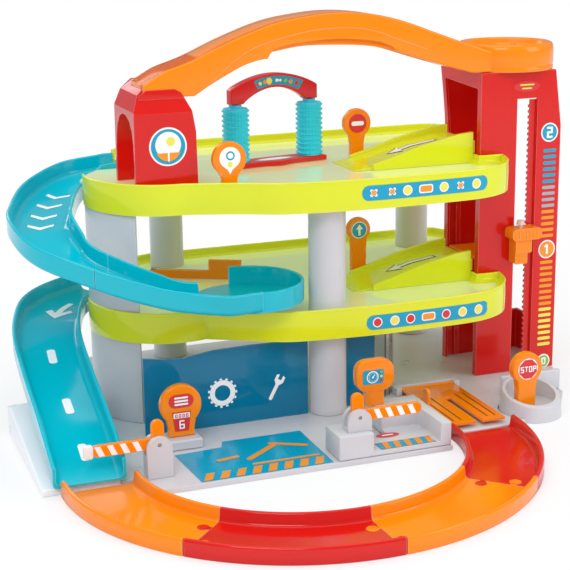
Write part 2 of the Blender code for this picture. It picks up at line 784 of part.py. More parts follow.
def buildSigns():
    floor2 = deckFloorTop + storey + gap
    floor1 = deckFloorTop + gap
    signs = {
        "pin_sign": (-111 * mm, 20 * mm, floor2, 336 * mm, 20 * mm, 9 * mm, 9 * mm),
        "no_entry_sign": (101 * mm, 151 * mm, floor2, 344 * mm, 18.5 * mm, 9 * mm, 9 * mm),
        "up_arrow_sign": (101 * mm, 146 * mm, floor1, 205 * mm, 16 * mm, 10 * mm, 9 * mm),
        "fuel_pump": (-196 * mm, -45 * mm, 18 * mm + gap, 79 * mm, 24 * mm, 15 * mm, 10 * mm),
        "stop_sign": (213 * mm, -95 * mm, podiumFloor + gap, 81 * mm, 19.5 * mm, 11.5 * mm, 12 * mm),
    }
    for name, (x, y, low, top, headHalf, stemHalf, thick) in signs.items():
        sign = plate(signOutline(x, low, top, headHalf, stemHalf), y - thick / 2, y + thick / 2, "XZ")
        finish(soften(sign, 1.6 * mm, 2), name, "orange")
    x, y, low = 27 * mm, -74 * mm, 34 * mm + gap
    line = roundedRectangle((x - 23 * mm, x + 23 * mm), (52 * mm, 89 * mm), 13 * mm)
    head = plate(line, y - 6 * mm, y + 6 * mm, "XZ")
    join(head, box((x - 11 * mm, x + 11 * mm), (y - 5 * mm, y + 5 * mm), (low, 58 * mm)))
    finish(soften(head, 1.6 * mm, 2), "air_station", "orange")


# Barriers
def buildBarriers():
    half = 14 * mm
    pinHole = 2.2 * mm
    armHalf = 2.7 * mm
    for side, (pivot, way, reach) in barriers.items():
        low = (baseThick if side == "left" else 34 * mm) + gap
        top = pivot.z + 9 * mm
        crown = [tuple(point) for point in arc((pivot.x, top - half), half, 0, math.pi, 11)]
        housing = [(pivot.x - half, low), (pivot.x + half, low)] + crown
        cheeks = plate(housing, pivot.y - 9 * mm, pivot.y + 9 * mm, "XZ")
        slot = (pivot.z - (14 if side == "left" else 12) * mm, top + cutPast)
        cut(
            cheeks,
            box((pivot.x - 2 * half, pivot.x + 2 * half), (pivot.y - 3.5 * mm, pivot.y + 3.5 * mm), slot),
            rod(pivot, pinHole, 30 * mm),
        )
        finish(cheeks, f"barrier_housing_{side}", "grey")

        limits = sorted((pivot.x - way * 6 * mm, pivot.x + way * reach))
        armLine = roundedRectangle(limits, (pivot.z - 6.5 * mm, pivot.z + 6.5 * mm), 6 * mm)
        tabLine = roundedRectangle(
            (pivot.x - 7 * mm, pivot.x + 7 * mm), (pivot.z - 4 * mm, pivot.z + barrierTab), 6.5 * mm
        )
        arm = plate(armLine, pivot.y - armHalf, pivot.y + armHalf, "XZ")
        join(arm, plate(tabLine, pivot.y - armHalf, pivot.y + armHalf, "XZ"))
        cut(arm, rod(pivot, pinHole, 30 * mm))
        setOrigin(finish(arm, f"barrier_arm_{side}", "orange"), pivot)
        finish(rod(pivot, 1.8 * mm, 17 * mm), f"barrier_pin_{side}", "pin_steel")


# Screens of the ground floor
def buildScreens():
    low = baseThick + gap
    top = [(-226, 99), (-200, 95), (-176, 94), (-142, 99), (-97, 100), (-26, 99)]
    outline = [(-226, low / mm), (-26, low / mm)] + top[::-1]
    screen = plate([(x * mm, z * mm) for x, z in outline], -2 * mm, 0, "XZ")
    finish(screen, "workshop_screen_left", "screen_blue")
    outline = [(26, low / mm), (62, low / mm), (62, 98), (26, 98)]
    screen = plate([(x * mm, z * mm) for x, z in outline], 4 * mm, 6 * mm, "XZ")
    finish(screen, "workshop_screen_right", "screen_blue")
    path = smoothPath(np.array([(66, 12), (88, 20), (104, 40), (112, 64)]) * mm, 9)
    outline = np.vstack([path, inset(path, 0)[::-1] + np.array([-2.2 * mm, 1.6 * mm])])
    finish(plate(outline, low, 92 * mm), "clear_screen", "screen_smoke")


# Slides
def channelProfile(half):
    """Upright U section about the wall tops' centre: floor, two walls, rounded lips."""
    top, low = 0.0, -channelHeight
    inner = half - channelWall
    floor = low + channelFloor
    lip = 1.0 * mm
    return [
        (-half, low + 2 * mm), (-half + 2 * mm, low), (half - 2 * mm, low), (half, low + 2 * mm),
        (half, top - lip), (half - lip, top), (inner + lip, top), (inner, top - lip),
        (inner, floor + 2 * mm), (inner - 2 * mm, floor), (-inner + 2 * mm, floor), (-inner, floor + 2 * mm),
        (-inner, top - lip), (-inner - lip, top), (-half + lip, top), (-half, top - lip),
    ]


def parted(path, spot):
    """The path in two at the point nearest a spot, with the fit gap between square ends."""
    index = int(np.argmin(np.hypot(path[:, 0] - spot[0], path[:, 1] - spot[1])))
    along = path[index + 1] - path[index - 1]
    along /= np.linalg.norm(along)
    before = [path[index] - along * seamStep, path[index] - along * gap / 2]
    after = [path[index] + along * gap / 2, path[index] + along * seamStep]
    return np.vstack([path[:index], before]), np.vstack([after, path[index + 1:]])


def buildSlides():
    half = channelHalfWidths[1]
    first, second = parted(slidePath(1), slideSeam)
    finish(sweep(channelProfile(half), first), "upper_slide", "turquoise")

    # The last stretch runs into a round bowl, open at the back
    floor, wall = bowlBottom + channelFloor, bowlBottom + channelHeight
    inner = bowlRadius - channelWall
    edge = 1 * mm
    ring = [
        (0, floor), (inner, floor), (inner, wall - edge), (inner + edge, wall), (bowlRadius - edge, wall),
        (bowlRadius, wall - edge), (bowlRadius, bowlBottom), (0, bowlBottom),
    ]
    bowl = turned(ring, bowlCentre, 40)
    channel = sweep(channelProfile(half), second)
    cut(channel, cylinder(bowlCentre, inner + 0.5 * mm, floor - 0.4 * mm, wall + 40 * mm, 40))
    low, high, side = channelFloor - channelHeight + 0.4 * mm, 12 * mm, half - channelWall - gap
    cut(bowl, sweep([(-side, low), (side, low), (side, high), (-side, high)], second[-9:]))
    mouth = arc(bowlCentre, bowlRadius + 20 * mm, math.radians(92), math.radians(168), 8)
    cut(bowl, plate(np.vstack([[tuple(bowlCentre)], mouth]), floor + 0.2 * mm, wall + cutPast))
    join(bowl, channel)
    finish(bowl, "slide_bowl", "turquoise")

    lower = sweep(channelProfile(channelHalfWidths[0]), slidePath(0))
    finish(lower, "lower_slide", "turquoise")


# Diverter gate on the first deck
def buildGate():
    pivot = gatePivot
    low = deckFloorTop + gap
    length = 76 * mm
    half = 3 * mm
    bar = box((0, length), (-half, half), (low + 1 * mm, low + 12 * mm))
    paddle = box((length - 4 * mm, length + 38 * mm), (-half, half), (low + 1 * mm, low + 26 * mm))
    knuckle = cylinder((0, 0), 5 * mm, low + 1 * mm, low + 12 * mm, segmentsSmall)
    join(bar, paddle, knuckle)
    cut(bar, cylinder((0, 0), 2.2 * mm, low - cutPast, low + 30 * mm, segmentsSmall))
    bar.data.transform(Matrix.Translation((*pivot.xy, 0)) @ Matrix.Rotation(gateRest, 4, "Z"))
    setOrigin(finish(bar, "diverter_gate", "orange"), pivot)
    pin = cylinder(pivot, 1.8 * mm, low, low + 13.5 * mm, segmentsSmall)
    join(pin, cylinder(pivot, 3.4 * mm, low + 12.5 * mm, low + 15 * mm, segmentsSmall))
    finish(pin, "gate_pin", "pin_steel")


# Sprung weighing plate at the ground exit
def buildWeighPlate():
    low = 11 * mm
    hinge = Vector((139 * mm, 17 * mm, low + 0.6 * mm))
    outline = [
        (104, 14), (104, -62), (106, -119), (137, -119), (137, -34), (145, -34), (145, -119), (174, -119),
        (174, 14),
    ]
    pan = plate([(x * mm, y * mm) for x, y in outline], low, low + 3 * mm)
    flagLine = roundedRectangle((-58 * mm, -44 * mm), (low + 1 * mm, low + 24 * mm), 5 * mm)
    flag = plate(flagLine, 104.2 * mm, 107.6 * mm, "YZ")
    join(pan, rod(hinge, 3.2 * mm, 70 * mm, "X"), flag)
    cut(pan, rod(hinge, 1.7 * mm, 120 * mm, "X"))
    setOrigin(finish(pan, "weigh_plate", "orange"), hinge)

    z = (baseThick + gap, 16 * mm)
    bridge = box((96 * mm, 182 * mm), (21.5 * mm, 27 * mm), z)
    left = box((96 * mm, 103.4 * mm), (12 * mm, 22 * mm), z)
    right = box((174.6 * mm, 182 * mm), (12 * mm, 22 * mm), z)
    join(bridge, left, right)
    cut(bridge, rod(hinge, 1.3 * mm + gap, 120 * mm, "X"))
    finish(bridge, "weigh_plate_bearing", "grey")
    finish(rod(hinge, 1.3 * mm, 84 * mm, "X", 12), "weigh_plate_pin", "pin_steel")


# Floor track
def trackPoint(turn):
    """A point of the track's middle line, with its direction along and across the track."""
    spot = trackCentre + Vector((math.cos(turn) * trackReach.x, math.sin(turn) * trackReach.y))
    along = Vector((-math.sin(turn) * trackReach.x, math.cos(turn) * trackReach.y)).normalized()
    return spot, along, Vector((along.y, -along.x))


def trackTab(turn, way, spare=0.0):
    """A jigsaw tab in the track floor: a disc past the joint and the neck that holds it."""
    radius = tabRadius + spare
    low, high = (-cutPast, trackFloor + cutPast) if spare else (0.3 * mm, trackFloor - 0.3 * mm)
    spot, along, across = trackPoint(turn)
    spot = spot + across * way * tabOffset
    along = along * way
    disc = cylinder(spot + along * tabReach, radius, low, high, segmentsSmall)
    neck = box((-10 * mm, tabReach), (-radius * 0.55, radius * 0.55), (low, high))
    facing = Matrix.Rotation(math.atan2(along.y, along.x), 4, "Z")
    neck.data.transform(Matrix.Translation((spot.x, spot.y, 0)) @ facing)
    return join(disc, neck)


def buildTrack():
    tones = ("orange", "red", "orange", "red")
    names = ("track_left", "track_front", "track_right", "track_exit")
    half, top, edge = trackHalf, trackHeight, 1 * mm
    right = [
        (half - trackWall - edge, trackFloor), (half - trackWall + 1.5 * edge, top), (half - edge, top),
        (half, top - edge), (half, 0),
    ]
    section = right + [(-x, z) for x, z in right[::-1]]
    pieces = []
    for index in range(len(names)):
        start = math.radians(trackJoints[index]) + 1.2 * gap / trackReach.y
        end = math.radians(trackJoints[index + 1]) - 1.2 * gap / trackReach.y
        turns = np.linspace(start, end, 8)
        # A short first and last step keeps both end faces square to the ring
        turns = np.sort(np.append(turns, (start + endStep, end - endStep)))
        pieces.append(sweep(section, [(*trackPoint(turn)[0], 0) for turn in turns]))
    # Each joint holds two tabs, one from either side
    tabs = []
    for index, degrees in enumerate(trackJoints[1:-1]):
        turn = math.radians(degrees)
        tabs += [(turn, 1, pieces[index], pieces[index + 1]), (turn, -1, pieces[index + 1], pieces[index])]
    for turn, way, giver, taker in tabs:
        cut(taker, trackTab(turn, way, gap))
    for turn, way, giver, taker in tabs:
        join(giver, trackTab(turn, way))
    for piece, name, tone in zip(pieces, names, tones):
        finish(piece, name, tone)


buildBase()
buildPosts()
buildDecks()
buildTower()
buildArch()
buildLift()
buildHood()
buildWash()
buildSigns()
buildBarriers()
buildScreens()
buildSlides()
buildGate()
buildWeighPlate()
buildTrack()
bpy.context.view_layer.update()
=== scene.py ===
import math

import bmesh
import bpy
import numpy as np
from mathutils import Matrix, Vector, geometry


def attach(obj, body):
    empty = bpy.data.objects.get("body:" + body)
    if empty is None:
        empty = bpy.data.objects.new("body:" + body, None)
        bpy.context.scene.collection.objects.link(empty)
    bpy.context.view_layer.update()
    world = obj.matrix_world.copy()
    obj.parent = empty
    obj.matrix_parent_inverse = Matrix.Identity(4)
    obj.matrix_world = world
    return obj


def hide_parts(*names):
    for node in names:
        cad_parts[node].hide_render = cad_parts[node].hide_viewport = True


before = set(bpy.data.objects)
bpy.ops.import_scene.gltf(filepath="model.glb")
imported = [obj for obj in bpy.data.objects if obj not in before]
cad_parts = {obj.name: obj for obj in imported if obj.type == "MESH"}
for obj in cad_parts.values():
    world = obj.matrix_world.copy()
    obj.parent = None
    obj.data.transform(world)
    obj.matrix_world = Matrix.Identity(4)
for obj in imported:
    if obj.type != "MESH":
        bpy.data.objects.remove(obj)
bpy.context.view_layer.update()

mm = 0.001
garage = "garage"


# Node helpers and colours
def linear(code):
    # a hex code of display values, each turned to linear light by the display's power curve
    values = np.array([int(code[i : i + 2], 16) for i in (1, 3, 5)]) / 255
    values = np.where(values <= 0.04045, values / 12.92, ((values + 0.055) / 1.055) ** 2.4)
    return (*values.tolist(), 1.0)


def feed(tree, node, inputs):
    # each input is set to its value, or linked where the value is another node's output
    for key, value in inputs.items():
        if isinstance(value, bpy.types.NodeSocket):
            tree.links.new(value, node.inputs[key])
        else:
            node.inputs[key].default_value = value
    return node


def addNode(tree, kind, inputs, **settings):
    node = tree.nodes.new("ShaderNode" + kind)
    for key, value in settings.items():
        setattr(node, key, value)
    return feed(tree, node, inputs)


def combine(tree, kind, a, b, clamp=False):
    return addNode(tree, "Math", {0: a, 1: b}, operation=kind, use_clamp=clamp).outputs[0]


# Moulded plastic: one node group for every material
plastic = {
    "cloudScale": 9, "smearScale": 38, "grainScale": 1400, "waveScale": 16,
    "smearStretch": (1, 1, 0.25), "smearTurn": (0.3, 0.2, 0.7),
    "shadeSpread": 0.10, "smearGloss": 0.16, "wornGloss": 0.25, "leastRoughness": 0.04,
    "edgeRadius": 1.4 * mm, "edgeGain": 5, "grainDepth": 0.3 * mm, "waveDepth": 4 * mm,
}


def mouldedGroup():
    # colour with a slow cloud of noise, and edges mixed towards white as a painted highlight and made
    # rougher as wear; smears in the gloss, grain and waves as bumps
    group = bpy.data.node_groups.new("mouldedPlastic", "ShaderNodeTree")
    for label in ("Colour", "Gloss", "Grain", "Wear", "Wave"):
        kind = "NodeSocketColor" if label == "Colour" else "NodeSocketFloat"
        group.interface.new_socket(label, in_out="INPUT", socket_type=kind)
    for label, kind in (("Colour", "Color"), ("Roughness", "Float"), ("Normal", "Vector")):
        group.interface.new_socket(label, in_out="OUTPUT", socket_type="NodeSocket" + kind)
    given = group.nodes.new("NodeGroupInput").outputs
    coords = addNode(group, "TexCoord", {}).outputs["Object"]

    def joined(kind, a, b, clamp=False):
        return combine(group, kind, a, b, clamp)

    def noise(scale, detail, rough=0.5, source=coords):
        inputs = {"Vector": source, "Scale": scale, "Detail": detail, "Roughness": rough}
        return addNode(group, "TexNoise", inputs).outputs["Fac"]

    turned = {"Vector": coords, "Scale": plastic["smearStretch"], "Rotation": plastic["smearTurn"]}
    stretched = addNode(group, "Mapping", turned).outputs[0]
    cloud, grain = noise(plastic["cloudScale"], 4), noise(plastic["grainScale"], 2)
    smear, wave = noise(plastic["smearScale"], 5, 0.6, stretched), noise(plastic["waveScale"], 1)

    # an edge is where a normal rounded over a small radius turns away from the face's own
    rounded = addNode(group, "Bevel", {"Radius": plastic["edgeRadius"]}, samples=4).outputs[0]
    own = addNode(group, "NewGeometry", {}).outputs["Normal"]
    facing = addNode(group, "VectorMath", {0: rounded, 1: own}, operation="DOT_PRODUCT").outputs["Value"]
    edge = joined("MULTIPLY", joined("SUBTRACT", 0.99, facing), plastic["edgeGain"], True)
    # painted highlight and wear: the edge mask, broken up by smears, whitens the colour below and roughens
    # it further on
    edgeWearAndSheen = joined("MULTIPLY", joined("MULTIPLY", edge, joined("ADD", smear, 0.3)), given["Wear"], True)

    value = joined("ADD", joined("MULTIPLY", cloud, plastic["shadeSpread"]), 0.95)
    shade = addNode(group, "HueSaturation", {"Color": given["Colour"], "Value": value}).outputs[0]
    # painted highlight: the colour is mixed towards white where the edge mask is
    mixed = {"Factor": edgeWearAndSheen, 6: shade, 7: (1, 1, 1, 1)}
    colour = addNode(group, "Mix", mixed, data_type="RGBA").outputs[2]
    smeared = joined("MULTIPLY", joined("SUBTRACT", smear, 0.5), plastic["smearGloss"])
    gloss = joined("ADD", given["Gloss"], smeared)
    gloss = joined("ADD", gloss, joined("MULTIPLY", edgeWearAndSheen, plastic["wornGloss"]))
    rough = joined("MAXIMUM", gloss, plastic["leastRoughness"])
    waves = {"Distance": plastic["waveDepth"], "Strength": given["Wave"], "Height": wave}
    swell = addNode(group, "Bump", waves).outputs[0]
    grains = {"Distance": plastic["grainDepth"], "Strength": given["Grain"], "Height": grain}
    bump = addNode(group, "Bump", {**grains, "Normal": swell}).outputs[0]
    feed(group, group.nodes.new("NodeGroupOutput"), {"Colour": colour, "Roughness": rough, "Normal": bump})
    return group


moulded = mouldedGroup()

# the edge amount whitens edges, a painted highlight, and roughens them as wear
usual = {
    "gloss": 0.3, "grain": 0.02, "coat": 0.1, "wear": 0.25, "wave": 0.06,
    "metal": 0.0, "shine": 0.45, "glow": 0.0, "clear": 0.0, "ior": 1.46,
}
# glow is painted light: each material also emits its own colour at this strength, which lifts its shaded
# parts
finishes = {
    "greyMoulding": {"colour": "#D0CFD3", "grain": 0.10, "coat": 0.15},
    "paleMoulding": {"colour": "#F3F4F7", "grain": 0.08, "coat": 0.15},
    "limeMoulding": {"colour": "#D8DE20", "gloss": 0.13, "grain": 0.03, "coat": 0.3, "shine": 0.4,
                     "glow": 0.09},
    "deckFloor": {"colour": "#E2EFAE", "gloss": 0.06, "coat": 0.5, "glow": 0.12},
    "redMoulding": {"colour": "#D6160F", "gloss": 0.15, "grain": 0.03, "coat": 0.3, "shine": 0.4,
                    "glow": 0.03, "ior": 1.42},
    "orangeMoulding": {"colour": "#F88802", "gloss": 0.16, "grain": 0.03, "coat": 0.25, "shine": 0.4,
                       "glow": 0.04, "ior": 1.42},
    "turquoiseMoulding": {"colour": "#00B4C6", "gloss": 0.12, "grain": 0.03, "coat": 0.3, "glow": 0.06,
                          "ior": 1.42},
    "whiteInk": {"colour": "#FBFBFB"},
    "tealInk": {"colour": "#00A0C4", "gloss": 0.25, "coat": 0.2},
    "orangeInk": {"colour": "#F5981C"},
    "redInk": {"colour": "#DC3034"},
    "yellowInk": {"colour": "#F3E65A"},
    "greenInk": {"colour": "#8CC63F"},
    "greyInk": {"colour": "#A9ACB5", "gloss": 0.35},
    "darkInk": {"colour": "#2A3138", "gloss": 0.4, "grain": 0.03, "coat": 0.0},
    "steel": {"colour": "#B4B6BA", "grain": 0.05, "coat": 0.0, "metal": 1.0},
    "nubMoulding": {"colour": "#F3C8BE", "gloss": 0.15, "coat": 0.5},
    "blueClear": {"colour": "#0082AC", "gloss": 0.08, "grain": 0.01, "coat": 0.3, "clear": 0.3,
                  "glow": 0.04, "shine": 0.35, "ior": 1.4},
    "smokeClear": {"colour": "#C4CFD1", "gloss": 0.05, "grain": 0.01, "coat": 0.5, "clear": 0.92},
    "rollerRubber": {"colour": "#10C2DA", "grain": 0.06, "coat": 0.2, "glow": 0.15},
}


def makeMaterial(name, look):
    look = {**usual, **look}
    made = bpy.data.materials.new(name)
    made.use_nodes = True
    tree = made.node_tree
    given = {key.title(): look[key] for key in ("gloss", "grain", "wear", "wave")}
    surface = addNode(tree, "Group", {}, node_tree=moulded)
    surface = feed(tree, surface, {"Colour": linear(look["colour"]), **given}).outputs
    # painted light: the surface colour is also emitted, at the strength glow, so shaded parts stay bright
    feed(tree, tree.nodes["Principled BSDF"], {
        "Base Color": surface["Colour"], "Emission Color": surface["Colour"],
        "Roughness": surface["Roughness"], "Normal": surface["Normal"],
        "Metallic": look["metal"], "Coat Weight": look["coat"], "Coat Roughness": 0.06,
        "Specular IOR Level": look["shine"], "Emission Strength": look["glow"],
        "Transmission Weight": look["clear"], "IOR": look["ior"],
    })
    return made


materials = {name: makeMaterial(name, look) for name, look in finishes.items()}
print("stage: materials", len(materials))


# Surfaces worked out with numpy, in mm
def gridFaces(rows, cols, wrapRows=False, wrapCols=False):
    # quads between neighbouring rows and columns of a grid, joined round where it wraps
    r = np.arange(rows if wrapRows else rows - 1)[:, None]
    c = np.arange(cols if wrapCols else cols - 1)[None, :]
    r2, c2 = (r + 1) % rows, (c + 1) % cols
    quads = np.stack([r * cols + c, r * cols + c2, r2 * cols + c2, r2 * cols + c], axis=-1)
    return quads.reshape(-1, 4).tolist()


def tubeFaces(rings, count):
    # a grid joined round in one direction, with a flat face at each end
    ends = [list(range(count))[::-1], list(range((rings - 1) * count, rings * count))]
    return gridFaces(rings, count, wrapCols=True) + ends


def linked(name, mesh, look):
    item = bpy.data.objects.new(name, mesh)
    bpy.context.scene.collection.objects.link(item)
    mesh.materials.append(materials[look])
    mesh.shade_smooth()
    return item


def placed(name, form, look, body=garage, angle=35, weld=0.01, replaced=(), outward=None):
    # a mesh of its own from points in mm and faces, welded and turned outwards, riding on its body
    points, faces = form
    mesh = bpy.data.meshes.new(name)
    mesh.from_pydata((np.asarray(points) * mm).tolist(), [], faces)
    shape = bmesh.new()
    shape.from_mesh(mesh)
    if weld:
        bmesh.ops.remove_doubles(shape, verts=shape.verts[:], dist=weld * mm)
    if outward is None:
        bmesh.ops.recalc_face_normals(shape, faces=shape.faces[:])
    else:
        total = sum((face.normal * face.calc_area() for face in shape.faces), Vector())
        if total.dot(Vector(outward)) < 0:
            bmesh.ops.reverse_faces(shape, faces=shape.faces[:])
    shape.to_mesh(mesh)
    shape.free()
    item = linked(name, mesh, look)
    mesh.set_sharp_from_angle(angle=math.radians(angle))
    if replaced:
        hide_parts(*replaced)
    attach(item, body)
    return item


def smoothLine(knots, count):
    # Catmull-Rom curve through the knots, resampled to equal steps of length
    knots = np.array(knots, float)
    padded = np.vstack([2 * knots[0] - knots[1], knots, 2 * knots[-1] - knots[-2]])
    t = np.linspace(0, 1, 24, endpoint=False)[None, :, None]
    a, b, c, d = (padded[i : len(padded) - 3 + i][:, None, :] for i in range(4))
    cubic = 2 * b + (c - a) * t + (2 * a - 5 * b + 4 * c - d) * t**2 + (3 * b - a - 3 * c + d) * t**3
    fine = np.vstack([(0.5 * cubic).reshape(-1, knots.shape[1]), knots[-1]])
    along = lengths(fine)
    wanted = np.linspace(0, along[-1], count)
    return np.stack([np.interp(wanted, along, fine[:, axis]) for axis in range(fine.shape[1])], axis=1)


def lengths(line):
    # the distance along a line to each of its points
    return np.concatenate([[0], np.cumsum(np.linalg.norm(np.diff(line, axis=0), axis=1))])


def arcLine(centre, radius, start, end, count):
    # points on a circle from one angle to another, in degrees
    turn = np.radians(np.linspace(start, end, count))
    return np.stack([centre[0] + radius * np.cos(turn), centre[1] + radius * np.sin(turn)], axis=1)


def discLine(centre, radius, count=28):
    return arcLine(centre, radius, 0, 360, count + 1)[:-1]


def insetLine(outline, distance):
    # every point moved along the mean of its two edges' inward normals, further at corners
    outline = np.array(outline, float)
    before = outline - np.roll(outline, 1, axis=0)
    after = np.roll(outline, -1, axis=0) - outline
    before /= np.maximum(np.linalg.norm(before, axis=1), 1e-12)[:, None]
    after /= np.maximum(np.linalg.norm(after, axis=1), 1e-12)[:, None]
    normals = np.stack([-(before + after)[:, 1], (before + after)[:, 0]], axis=1)
    normals /= np.maximum(np.linalg.norm(normals, axis=1), 1e-12)[:, None]
    corner = np.sqrt(np.clip((1 + (before * after).sum(axis=1)) / 2, 0.4, 1))
    return outline + normals * (distance / corner)[:, None]


def roundedBox(x, y, radius, steps=6):
    # a rectangle's outline with quarter circles at its corners, anticlockwise
    spots = ((x[1] - radius, y[0] + radius, -90), (x[1] - radius, y[1] - radius, 0),
             (x[0] + radius, y[1] - radius, 90), (x[0] + radius, y[0] + radius, 180))
    return np.vstack([arcLine(spot[:2], radius, spot[2], spot[2] + 90, steps + 1) for spot in spots])


def resample(outline, step):
    # a closed outline with extra points so that no edge is longer than a step
    outline = np.asarray(outline, float)
    ends = np.roll(outline, -1, axis=0)
    counts = np.maximum(1, np.ceil(np.linalg.norm(ends - outline, axis=1) / step).astype(int))
    edges = zip(outline, ends, counts)
    return np.vstack([a + (b - a) * np.linspace(0, 1, n, endpoint=False)[:, None] for a, b, n in edges])


def softPlate(outline, low, high, radius, plane="XY", steps=4):
    # stacked copies of an outline, pulled in along a quarter circle at both faces, so its edges are round
    turn = np.radians(np.linspace(0, 90, steps + 1))
    pull = radius * (1 - np.sin(turn))
    rise = radius * (1 - np.cos(turn))
    pull, height = np.concatenate([pull, pull[::-1]]), np.concatenate([low + rise, (high - rise)[::-1]])
    rings = []
    for inset, depth in zip(pull, height):
        flat = insetLine(outline, inset)
        deep = np.full(len(flat), depth)
        rings.append(np.column_stack([flat, deep] if plane == "XY" else [flat[:, 0], deep, flat[:, 1]]))
    return np.vstack(rings), tubeFaces(len(rings), len(outline))


def carried(profile, path):
    # a closed profile of (side, up) set square to a path at each point and kept upright
    tangent = np.gradient(path, axis=0)
    tangent[:, 2] = 0
    tangent /= np.linalg.norm(tangent, axis=1)[:, None]
    side = np.stack([tangent[:, 1], -tangent[:, 0], np.zeros(len(path))], axis=1)
    points = path[:, None] + side[:, None] * profile[:, :1] + np.array([0, 0, 1.0]) * profile[:, 1:]
    return points.reshape(-1, 3), tubeFaces(len(path), len(profile))


def atHeight(line, height):
    # a flat line as points at one height
    return np.column_stack([line, np.full(len(line), height)])


def turnedSurface(profile, centre, steps=96, ripple=None):
    # a profile of (radius, height) turned about an upright axis; a ripple may change the radius with angle
    profile = np.asarray(profile, float)
    turn = np.linspace(0, 2 * math.pi, steps, endpoint=False)[:, None]
    radius = np.broadcast_to(profile[:, 0], (steps, len(profile)))
    if ripple is not None:
        radius = radius * ripple(turn, profile[None, :, 1])
    points = np.stack([centre[0] + radius * np.cos(turn), centre[1] + radius * np.sin(turn),
                       np.broadcast_to(profile[:, 1], radius.shape)], axis=-1)
    return points.reshape(-1, 3), gridFaces(steps, len(profile), wrapRows=True)


def filled(outline, spacing):
    # an outline filled with triangles, with a grid of points inside so that it can follow a curved surface
    outline = resample(outline, spacing)
    low, high = outline.min(0), outline.max(0)
    grid = [np.arange(low[axis] + spacing / 2, high[axis], spacing) for axis in range(2)]
    inner = np.stack(np.meshgrid(*grid), axis=-1).reshape(-1, 2)
    nearest = np.linalg.norm(inner[:, None] - outline[None], axis=2).min(axis=1, initial=np.inf)
    verts = np.vstack([outline, inner[nearest > spacing * 0.35]])
    ring = list(range(len(outline)))
    edges = list(zip(ring, ring[1:] + ring[:1]))
    result = geometry.delaunay_2d_cdt([Vector(v) for v in verts.tolist()], edges, [ring], 1, 1e-4)
    return np.array([list(v) for v in result[0]]), [list(face) for face in result[2]]


frontOf, upOf = (0, -1, 0), (0, 0, 1)


def printed(name, ink, mapping, shapes, outward=frontOf, body=garage, spacing=3):
    # flat shapes carried onto a surface by a mapping of (u, v) to points, each a hair above the last
    points, faces, start = [], [], 0
    for outline in shapes:
        flat, tris = filled(outline, spacing)
        points.append(mapping(flat[:, 0], flat[:, 1]) + np.array(outward) * len(points) * 0.012)
        faces += [[i + start for i in tri] for tri in tris]
        start += len(flat)
    placed(name, (np.vstack(points), faces), ink + "Ink", body, outward=outward)


def softCopy(node, width, look, segments=2, angle=30, body=garage):
    # the CAD solid's own form with its edges rounded
    shape = bmesh.new()
    shape.from_mesh(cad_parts[node].data)
    bmesh.ops.remove_doubles(shape, verts=shape.verts[:], dist=0.005 * mm)
    parts = {"verts": shape.verts[:], "edges": shape.edges[:]}
    bmesh.ops.dissolve_limit(shape, angle_limit=math.radians(1), **parts)
    mesh = bpy.data.meshes.new(node + "_soft")
    shape.to_mesh(mesh)
    shape.free()
    item = linked(node + "_soft", mesh, look)
    bevel = item.modifiers.new("roundEdges", "BEVEL")
    bevel.width = width * mm
    bevel.segments = segments
    bevel.limit_method = "ANGLE"
    bevel.angle_limit = math.radians(angle)
    bevel.harden_normals = False
    mesh.set_sharp_from_angle(angle=math.radians(40))
    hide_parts(node)
    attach(item, body)
    return item


def ringShapes(centre, outer, inner):
    # a flat ring as two halves, because a filled outline has no hole
    return [
        np.vstack([arcLine(centre, outer, low, low + 180, 17), arcLine(centre, inner, low + 180, low, 17)])
        for low in (0, 180)
    ]


def turnFlat(outline, degrees, move=(0, 0)):
    c, s = math.cos(math.radians(degrees)), math.sin(math.radians(degrees))
    return np.asarray(outline, float) @ np.array([(c, s), (-s, c)]) + np.array(move)


def barLine(length, width, degrees=0, move=(0, 0), rounding=None):
    radius = width * 0.48 if rounding is None else rounding
    bar = roundedBox((-length / 2, length / 2), (-width / 2, width / 2), radius, 4)
    return turnFlat(bar, degrees, move)


# Camera, light and floor
view = {"place": (-0.6001, -1.5032, 0.5919), "yaw": 20.01, "pitch": 14.88, "roll": -0.82, "lens": 90.19}


def setCamera():
    yaw, pitch, roll = (math.radians(view[key]) for key in ("yaw", "pitch", "roll"))
    ahead = Vector((math.sin(yaw) * math.cos(pitch), math.cos(yaw) * math.cos(pitch), -math.sin(pitch)))
    right = Vector((math.cos(yaw), -math.sin(yaw), 0))
    up = right.cross(ahead)
    turnedRight = math.cos(roll) * right + math.sin(roll) * up
    turnedUp = -math.sin(roll) * right + math.cos(roll) * up
    data = bpy.data.cameras.new("photoCamera")
    data.lens = view["lens"]
    data.sensor_width = 36
    data.clip_end = 100
    item = bpy.data.objects.new("photoCamera", data)
    turn = Matrix((turnedRight, turnedUp, -ahead)).transposed().to_4x4()
    item.matrix_world = Matrix.Translation(view["place"]) @ turn
    bpy.context.scene.collection.objects.link(item)
    bpy.context.scene.camera = item


# Reflections see a room darker by glossyDrop, so colours stay full
studio = {"ambient": 0.8, "glossyDrop": 0.5, "tint": (0.93, 0.96, 1.0, 1)}
lamps = {
    "keySoftbox": {"place": (-1.3, -1.9, 2.3), "aim": (-0.02, 0.0, 0.15), "size": (1.5, 1.1), "watts": 25},
    "fillSoftbox": {"place": (1.9, -1.7, 1.3), "aim": (0.0, 0.0, 0.2), "size": (1.4, 1.4), "watts": 15},
    "topSoftbox": {"place": (0.0, 0.3, 2.4), "aim": (0.0, 0.05, 0.0), "size": (2.2, 1.8), "watts": 14},
    "backStrip": {"place": (-0.9, 2.2, 1.4), "aim": (0.0, 0.1, 0.2), "size": (1.8, 0.8), "watts": 8},
}


def seenStraight(tree):
    # 1 for rays from the camera, also through clear pieces
    rays = addNode(tree, "LightPath", {}).outputs
    return combine(tree, "MAXIMUM", rays["Is Camera Ray"], rays["Is Transmission Ray"])


